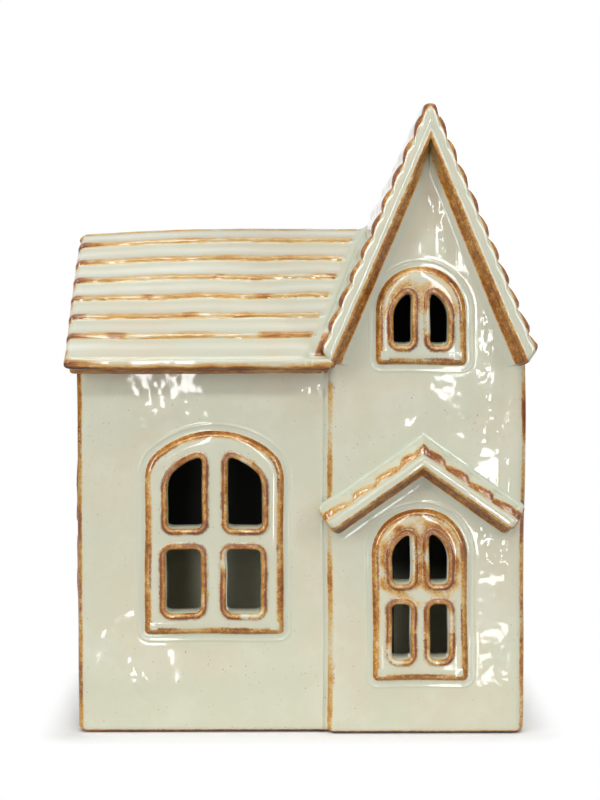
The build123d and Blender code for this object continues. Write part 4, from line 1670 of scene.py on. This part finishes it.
# %% Section of the canopy
CANOPY_X = box_mm("porch_canopy_left")[1][0]
CANOPY_TILT = math.radians(35.6)
CANOPY_WALL_TOP = 96.4
RAIL_DROP = 4.55
RAIL_NOSE = 1.3
SHINGLES = 4
SHINGLE = 0.95
SHINGLE_BACK = 1.75
SHINGLES_END = WING_FACE - 1.9
CANOPY_SOFT = 2.6
MIDDLE_OFFSET = -4.4


def canopy_section():
    """Outside and inside of the canopy in section, both from the front to in the wall."""
    front, wall = CANOPY_LOW[1], WING_FACE
    nose = np.linspace(0, math.pi / 2, 9)
    hollow = np.linspace(0, math.pi / 2, 8)[1:]
    slope_y = even_steps(front + RAIL_NOSE + 0.3, SHINGLES_END, 0.36)
    fall = (RAIL_DROP - 1.1) / (SHINGLES_END - front - RAIL_NOSE)
    slope_n = -RAIL_DROP + fall * (slope_y - front - RAIL_NOSE)
    low_y = front + np.array([1.1, 0.55, 0.2, 0.04, 0.0])
    low_n = -RAIL_DROP - np.array([3.7, 3.62, 3.35, 2.95, 2.3])
    top_y = np.concatenate([low_y, front + RAIL_NOSE * (1 - np.cos(nose)), slope_y,
                            wall - 1.75 + 1.73 * np.sin(hollow), [wall - FLUSH, wall + 0.7]])
    top_n = np.concatenate([low_n, -RAIL_DROP + RAIL_NOSE * (np.sin(nose) - 1), slope_n,
                            slope_n[-1] + 0.1 + 1.2 * (1 - np.cos(hollow)), [0.7, 0.7]])
    under_y = np.array([front + 1.4, front + 2.2, front + 3.2, wall - 2.3, wall - 1.5, wall - 0.85,
                        wall - 0.35, wall - 0.08, wall - FLUSH, wall + 0.7])
    under_n = np.array([-8.25, -8.45, -8.9, -9.75, -10.15, -10.7, -11.45, -12.2, -13.1, -13.1])
    spot = np.linspace(0, 1, len(top_y))
    given = np.linspace(0, 1, len(under_y))
    bottom = together(np.interp(spot, given, under_y), np.interp(spot, given, under_n))
    return together(top_y, top_n), bottom


print("the canopy's section:", [len(line) for line in canopy_section()], "points out and in")


# %% [markdown]
# The ends of the shingles are rusty, most of all on the right half. The canopy's own two ends sink
# into the wall, where the joint was smeared, so its last section is closed towards the wall.


# %% Canopy
def close_on_wall(top, bottom, soft, angle):
    """
    The end of a slab that sits on the wall: its height over the wall falls as a steep power of the
    cosine, and its edges draw in towards its middle.
    """
    ends = []
    for section in (top, bottom):
        moved = section.copy()
        out = np.maximum(WING_FACE - section[:, 0], 0)
        moved[:, 0] += out * (1 - max(math.cos(angle), 0) ** 0.42)
        drawn = soft * (1 - math.cos(angle)) / abs(MIDDLE_OFFSET)
        moved[:, 1] += (MIDDLE_OFFSET - section[:, 1]) * drawn * 0.8
        ends.append(moved)
    return ends


def canopy_glaze(top, bottom, travel, length, line, side):
    """Rusty shingle ends, a cream rail with an amber lower edge, a brown soffit that is partly painted
    shade, and pooled hollows.
    """
    across, offset = top[..., 0], top[..., 1]
    step = band(across, line - 0.8, line - 0.2, line + 0.5, line + 2.0)
    step = step * (offset > -RAIL_DROP - 0.4)
    strength = (0.72 if side > 0 else 0.52) + 0.07 * waves(travel, 9, 41 + side)[:, None]
    low_edge = ease(-offset, RAIL_DROP + 2.2, RAIL_DROP + 3.0)
    end = ease(travel, length - 2.0, length - 0.3)[:, None]
    near_peak = 1 - ease(travel, 2, 6)[:, None]
    thin = np.maximum(strength * step, 0.58 * low_edge)
    thin = np.maximum(thin, (0.66 if side > 0 else 0.48) * end)
    rust = np.clip(step * ((0.5 if side > 0 else 0.1) + 0.4 * near_peak) + 0.15 * end, 0, 1)
    pool = ease(across, WING_FACE - 2.6, WING_FACE - 1.4)
    # Painted shade in part: the soffit's brown also stands in for the shade under the canopy.
    under = 0.80 * (1 - ease(bottom[..., 0], WING_FACE - 1.4, WING_FACE - 0.6))
    wet = ease(bottom[..., 0], WING_FACE - 1.0, WING_FACE - 0.4)
    pairs = ((thin, under), (rust, 0 * under), (pool, wet))
    return [np.concatenate(pair).reshape(-1) for pair in pairs]


def make_canopy(side):
    """One slope; side is -1 for the left and 1 for the right."""
    run = (CANOPY_HIGH[0] - CANOPY_X) if side > 0 else (CANOPY_X - CANOPY_LOW[0])
    length = run / math.cos(CANOPY_TILT) + 0.5
    reach = length - CANOPY_SOFT
    travel, part = scallop_rows(reach / SHINGLES, reach / SHINGLES, SHINGLES, 45 + side, reach)
    rise = np.maximum(scallop(part), 1 - ease(travel, 1, 4))
    top, bottom = canopy_section()
    top = np.repeat(top[None], len(travel), 0)
    bottom = np.repeat(bottom[None], len(travel), 0)
    line = (CANOPY_LOW[1] + SHINGLE_BACK + 0.45 * part)[:, None]
    depth = top[..., 0]
    behind = band(depth, line - 0.3, line + 0.3, WING_FACE - 2.4, WING_FACE - 1.6)
    on_top = ease(top[..., 1], -RAIL_DROP - 0.5, -RAIL_DROP)
    top[..., 1] += on_top * SHINGLE * rise[:, None] * behind
    peak = (CANOPY_X, CANOPY_WALL_TOP)
    outside, inside, travel = slope_slab(side, peak, CANOPY_TILT, length, travel, top, bottom, CANOPY_SOFT,
                                         close_on_wall)
    grow = len(travel) - len(part)
    top, bottom, line = [lengthened(rows, grow) for rows in (top, bottom, line)]
    thin, rust, pool = canopy_glaze(top, bottom, travel, length, line, side)
    points, quads = closed_sheet(outside, inside)
    return shell(points, quads, thin=thin, rust=rust, pool=pool)


add_clay("porch_canopy_left", SLAB_GLAZE, [make_canopy(-1)])
add_clay("porch_canopy_right", SLAB_GLAZE, [make_canopy(1)])


# %% [markdown]
# The tealight is turned: a profile of radius and height spun round the axis. A screw modifier would
# do the same, but here flutes or a braid can swell the radius a little with the angle.


# %% Turned shapes
def turned(profile, centre, count, swell=None):
    """
    Spins a profile that starts and ends on the axis. Swell gives the radius's change from the angle
    and from the profile point's number along the profile.
    """
    angles = np.linspace(0, TAU, count, endpoint=False)[None]
    radius = np.broadcast_to(profile[:, :1], (len(profile), count)).copy()
    if swell is not None:
        radius += swell(angles, np.arange(len(profile))[:, None]) * (profile[:, :1] > 0.01)
    height = np.broadcast_to(profile[:, 1:], radius.shape)
    points = together(centre[0] + radius * np.cos(angles), centre[1] + radius * np.sin(angles), height)
    return shell(points.reshape(-1, 3), ring_quads(len(profile), count))


BUTTON = turned(np.array([[0, 0], [1, 0], [1, 1], [0, 1]]), (0, 0), 24)
print("a turned button has", len(BUTTON["faces"]), "faces")


# %% [markdown]
# A tealight is pressed aluminium, wax, braided cotton and a tin foot. All four are plain materials
# between two near colours; fine noise moves between them and gives each its slight relief.


# %% Tealight materials
def plain_material(name, low, high, scale, bump_height, **sockets):
    """A material between two near colours by fine noise, which also gives its slight relief."""
    material, n = new_material(name)
    place = n.add("ShaderNodeTexCoord").outputs["Object"]
    fleck = n.noise(place, scale, 3, 0.55)
    bump = n.add("ShaderNodeBump", {"Height": fleck, "Strength": 1.0, "Distance": bump_height})
    inputs = {"Base Color": n.mix(n.step(fleck, 0.35, 0.65), low, high), "Normal": bump.outputs["Normal"]}
    inputs.update({label.replace("_", " "): value for label, value in sockets.items()})
    surface = n.add("ShaderNodeBsdfPrincipled", inputs)
    n.add("ShaderNodeOutputMaterial", {"Surface": surface.outputs[0]})
    return material


CUP_METAL = plain_material("pressed aluminium", paint(214, 216, 218), paint(228, 229, 230), 900, 0.00002,
                           Metallic=1.0, Roughness=0.24)
TAB_METAL = plain_material("tinned steel", paint(176, 178, 180), paint(198, 199, 200), 1400, 0.00002,
                           Metallic=1.0, Roughness=0.36)
WAX = plain_material("candle wax", paint(236, 232, 222), paint(243, 240, 232), 260, 0.00008,
                     Roughness=0.38, IOR=1.44)
COTTON = plain_material("braided cotton", paint(226, 220, 204), paint(240, 236, 224), 3000, 0.00006,
                        Roughness=0.9, IOR=1.4)
print("tealight materials:", [material.name for material in (CUP_METAL, TAB_METAL, WAX, COTTON)])


# %% [markdown]
# The tealight rides on its own body, because it slides out through the back. Its sizes are read
# from the frame, and it isn't bent by the hand's wander, because it came out of a factory.


# %% Tealight
WAX_LOW, WAX_HIGH = box_mm("tealight_wax")
WICK_LOW, WICK_HIGH = box_mm("tealight_wick")
TAB_LOW, TAB_HIGH = box_mm("tealight_wick_tab")
AXIS = (CUP_LOW[:2] + CUP_HIGH[:2]) / 2
CUP_RADIUS = (CUP_HIGH[0] - CUP_LOW[0]) / 2
FOIL = 0.35
FLUTES = 48
RIM_OUT = 0.30


def make_cup():
    """A thin cup with fluted sides, a rounded foot and a rim rolled outward."""
    outer = CUP_RADIUS - RIM_OUT
    floor_z, top_z = CUP_LOW[2], CUP_HIGH[2]
    side = np.linspace(floor_z + 1.2, top_z - 0.9, 12)
    profile = np.concatenate([
        [[0, floor_z + 0.25], [outer - 4, floor_z + 0.2], [outer - 2.2, floor_z]],
        turn(outer - 1.2, floor_z + 1.2, 1.2, -90, 0, 7),
        together(outer, side)[1:],
        turn(outer - 0.05, top_z - 0.35, 0.35, -80, 180, 12),
        together(outer - FOIL, side[::-1]),
        turn(outer - 1.2, floor_z + 1.2, 1.2 - FOIL, 0, -90, 6),
        [[0, floor_z + FOIL + 0.25]],
    ])
    height = profile[:, 1]
    on_side = band(height, floor_z + 1.0, floor_z + 2.4, top_z - 2.2, top_z - 1.0)

    def flutes(angles, number):
        return 0.10 * np.cos(FLUTES * angles) * on_side[number]

    return turned(profile, AXIS, FLUTES * 6, flutes)


def make_wax():
    """The wax fill: it climbs a little at the cup and at the wick, as it does when it sets."""
    radius = CUP_RADIUS - RIM_OUT - FOIL - 0.02
    low, top = WAX_LOW[2] + 0.3, WAX_HIGH[2]
    out = np.linspace(radius, 0.6, 24)
    rise = top - 0.35 + 0.35 * np.exp(-(radius - out) / 0.9) + 0.3 * np.exp(-(out - 0.6) / 0.8)
    profile = np.concatenate([
        [[0, low], [radius - 1.1, low]], turn(radius - 1.0, low + 1.0, 1.0, -80, 0, 5),
        together(out, rise), [[0, top - 0.1]],
    ])
    return turned(profile, AXIS, 96)


def make_wick():
    """A braided cord: three strands wind up the radius."""
    radius = (WICK_HIGH[0] - WICK_LOW[0]) / 2
    height = np.linspace(WICK_LOW[2], WICK_HIGH[2] - 0.3, 60)
    side = together(radius - 0.10, height)
    tip = [[radius * 0.6, WICK_HIGH[2] - 0.05], [0, WICK_HIGH[2]]]
    profile = np.concatenate([[[0, height[0]]], side, tip])

    def braid(angles, number):
        return 0.10 * np.cos(3 * angles + 0.9 * number) + 0.05 * np.cos(3 * angles - 0.9 * number)

    return turned(profile, AXIS, 36, braid)


def make_tab():
    """The tin foot: a flat disc pressed up into a short neck that holds the wick."""
    radius = (TAB_HIGH[0] - TAB_LOW[0]) / 2
    neck = 1.5
    low, top = TAB_LOW[2], TAB_HIGH[2]
    thick = 0.3
    profile = np.concatenate([
        [[0, low], [radius - 0.2, low]], turn(radius - 0.15, low + thick / 2, 0.15, -60, 60, 5),
        [[neck + 0.9, low + thick]], turn(neck + 0.9, low + thick + 0.7, 0.7, -100, -180, 6),
        [[neck, top - 0.1], [neck - 0.1, top], [0, top]],
    ])
    return turned(profile, AXIS, 60)


for node, slot, material, maker in [
    ("tealight_cup", "cup_aluminium", CUP_METAL, make_cup), ("tealight_wax", "wax", WAX, make_wax),
    ("tealight_wick", "wick", COTTON, make_wick), ("tealight_wick_tab", "wick_tab_tin", TAB_METAL, make_tab),
]:
    add_piece(node + "_shaped", "tealight", material, [maker()], [node], warped=False, weld=True)


# %% [markdown]
# The floor is a table top in a white room. The camera sees it pure white, except close round the
# base, where it is a matt surface that takes the contact shadow. The table ends in front of the
# house, so that lamps below its level can show in the lower part of the glaze.


# %% Floor
TABLE_EDGE = -0.132
HALF_HOUSE = (0.070, 0.046, 0)
floor_mesh = bpy.data.meshes.new("studio_floor")
floor_mesh.from_pydata([(-3, TABLE_EDGE, 0), (3, TABLE_EDGE, 0), (3, 3, 0), (-3, 3, 0)], [], [(0, 1, 2, 3)])
floor = bpy.data.objects.new("studio_floor", floor_mesh)
bpy.context.scene.collection.objects.link(floor)
floor_paint, f = new_material("studio floor")
camera_ray = f.add("ShaderNodeLightPath").outputs["Is Camera Ray"]
spot = f.add("ShaderNodeTexCoord").outputs["Object"]
beside = f.add("ShaderNodeVectorMath", {0: spot}, operation="ABSOLUTE").outputs[0]
beside = f.add("ShaderNodeVectorMath", {0: beside, 1: HALF_HOUSE}, operation="SUBTRACT").outputs[0]
beside = f.add("ShaderNodeVectorMath", {0: beside, 1: (0, 0, 0)}, operation="MAXIMUM").outputs[0]
away = f.add("ShaderNodeVectorMath", {0: beside}, operation="LENGTH").outputs["Value"]
far = f.times(camera_ray, f.step(away, 0.001, 0.016))
near_floor = f.add("ShaderNodeBsdfPrincipled", {
    "Base Color": (0.88, 0.88, 0.88, 1), "Roughness": 0.9, "Specular IOR Level": 0.0,
    "Emission Color": (1, 1, 1, 1), "Emission Strength": f.times(camera_ray, 0.05),
})
white = f.add("ShaderNodeEmission", {"Color": (1, 1, 1, 1), "Strength": 1.0})
floor_mix = f.add("ShaderNodeMixShader", {0: far, 1: near_floor.outputs[0], 2: white.outputs[0]})
f.add("ShaderNodeOutputMaterial", {"Surface": floor_mix.outputs[0]})
floor_mesh.materials.append(floor_paint)
print("the table ends", round(-TABLE_EDGE / MM), "mm in front of the house's middle")


# %% [markdown]
# The room is white where it is looked at or mirrored, and gives little light of its own. A plain
# white world would light the house flatly from all sides, and the glaze would lose its modelling.


# %% World
world = bpy.data.worlds.new("studio")
bpy.context.scene.world = world
world.use_nodes = True
world.node_tree.nodes.clear()
w = Nodes(world.node_tree)
path = w.add("ShaderNodeLightPath").outputs
mirrored = w.math("MAXIMUM", path["Is Glossy Ray"], path["Is Transmission Ray"])
seen = w.math("MAXIMUM", path["Is Camera Ray"], mirrored)
strength = w.plus(0.08, w.times(seen, 0.92))
backdrop = w.add("ShaderNodeBackground", {"Color": (1, 1, 1, 1), "Strength": strength})
w.add("ShaderNodeOutputWorld", {"Surface": backdrop.outputs[0]})
print("world nodes:", len(world.node_tree.nodes))


# %% [markdown]
# Glossy glaze shows its lamps, so they are placed by where they are mirrored. Two tall strips draw
# the long highlights on the fronts. Three small lamps below the table's level give the patches
# beside and under the door window. Soft boxes at both sides, above and overhead model the roofs,
# and one behind lights the way in.


# %% Lights
def soft_box(name, place, target, width, height, power):
    """A rectangular lamp at a place, facing a target, all in metres and watts."""
    data = bpy.data.lights.new(name, "AREA")
    data.shape = "RECTANGLE"
    data.size = width
    data.size_y = height
    data.energy = power
    lamp = bpy.data.objects.new(name, data)
    lamp.location = place
    lamp.rotation_euler = (Vector(target) - Vector(place)).to_track_quat("-Z", "Y").to_euler()
    bpy.context.scene.collection.objects.link(lamp)
    return lamp


CENTRE = (0, 0, 0.1)
LAMPS = [
    ("strip right", (0.155, -1.05, 0.40), 0.04, 0.72, 1.1),
    ("strip left", (-0.115, -1.05, 0.38), 0.04, 0.68, 1.0),
    ("middle right", (0.166, -1.05, -0.045), 0.045, 0.10, 0.24),
    ("low right", (0.172, -1.05, -0.200), 0.06, 0.075, 0.12),
    ("low left", (-0.130, -1.05, -0.192), 0.045, 0.06, 0.11),
    ("soft box right", (0.74, -0.60, 0.42), 0.20, 0.60, 2.3),
    ("soft box left", (-0.76, -0.58, 0.42), 0.22, 0.60, 4.0),
    ("soft box above", (-0.06, -0.66, 0.72), 0.84, 0.09, 2.3),
    ("soft box overhead", (0.0, -0.34, 0.94), 0.7, 0.30, 1.7),
    ("soft box behind", (0.62, 0.80, 0.50), 0.5, 0.5, 4.0),
]
for name, place, width, height, power in LAMPS:
    soft_box(name, place, CENTRE, width, height, power)
print(len(LAMPS), "lamps,", round(sum(lamp[-1] for lamp in LAMPS), 2), "W in all")


# %% [markdown]
# The camera stands where the photographer's stood: its place, its slight tilt down and its lens were
# solved from the vanishing point of the roof's depth lines and from the leaning uprights. The
# Standard view shows colours as they are, without a film's curve.


# %% Camera
bpy.context.scene.view_settings.view_transform = "Standard"
camera_data = bpy.data.cameras.new("camera")
camera_data.sensor_width = 36
camera_data.lens = 88.16
TILT_DOWN = 3.65
TURN_RIGHT = 0.44
camera = bpy.data.objects.new("camera", camera_data)
camera.location = (-0.00535, -0.6661, 0.1468)
camera.rotation_euler = (math.radians(90 - TILT_DOWN), 0, math.radians(-TURN_RIGHT))
bpy.context.scene.collection.objects.link(camera)
bpy.context.scene.camera = camera
print("camera", round(camera.location.length, 3), "m from the middle of the base")


# %% [markdown]
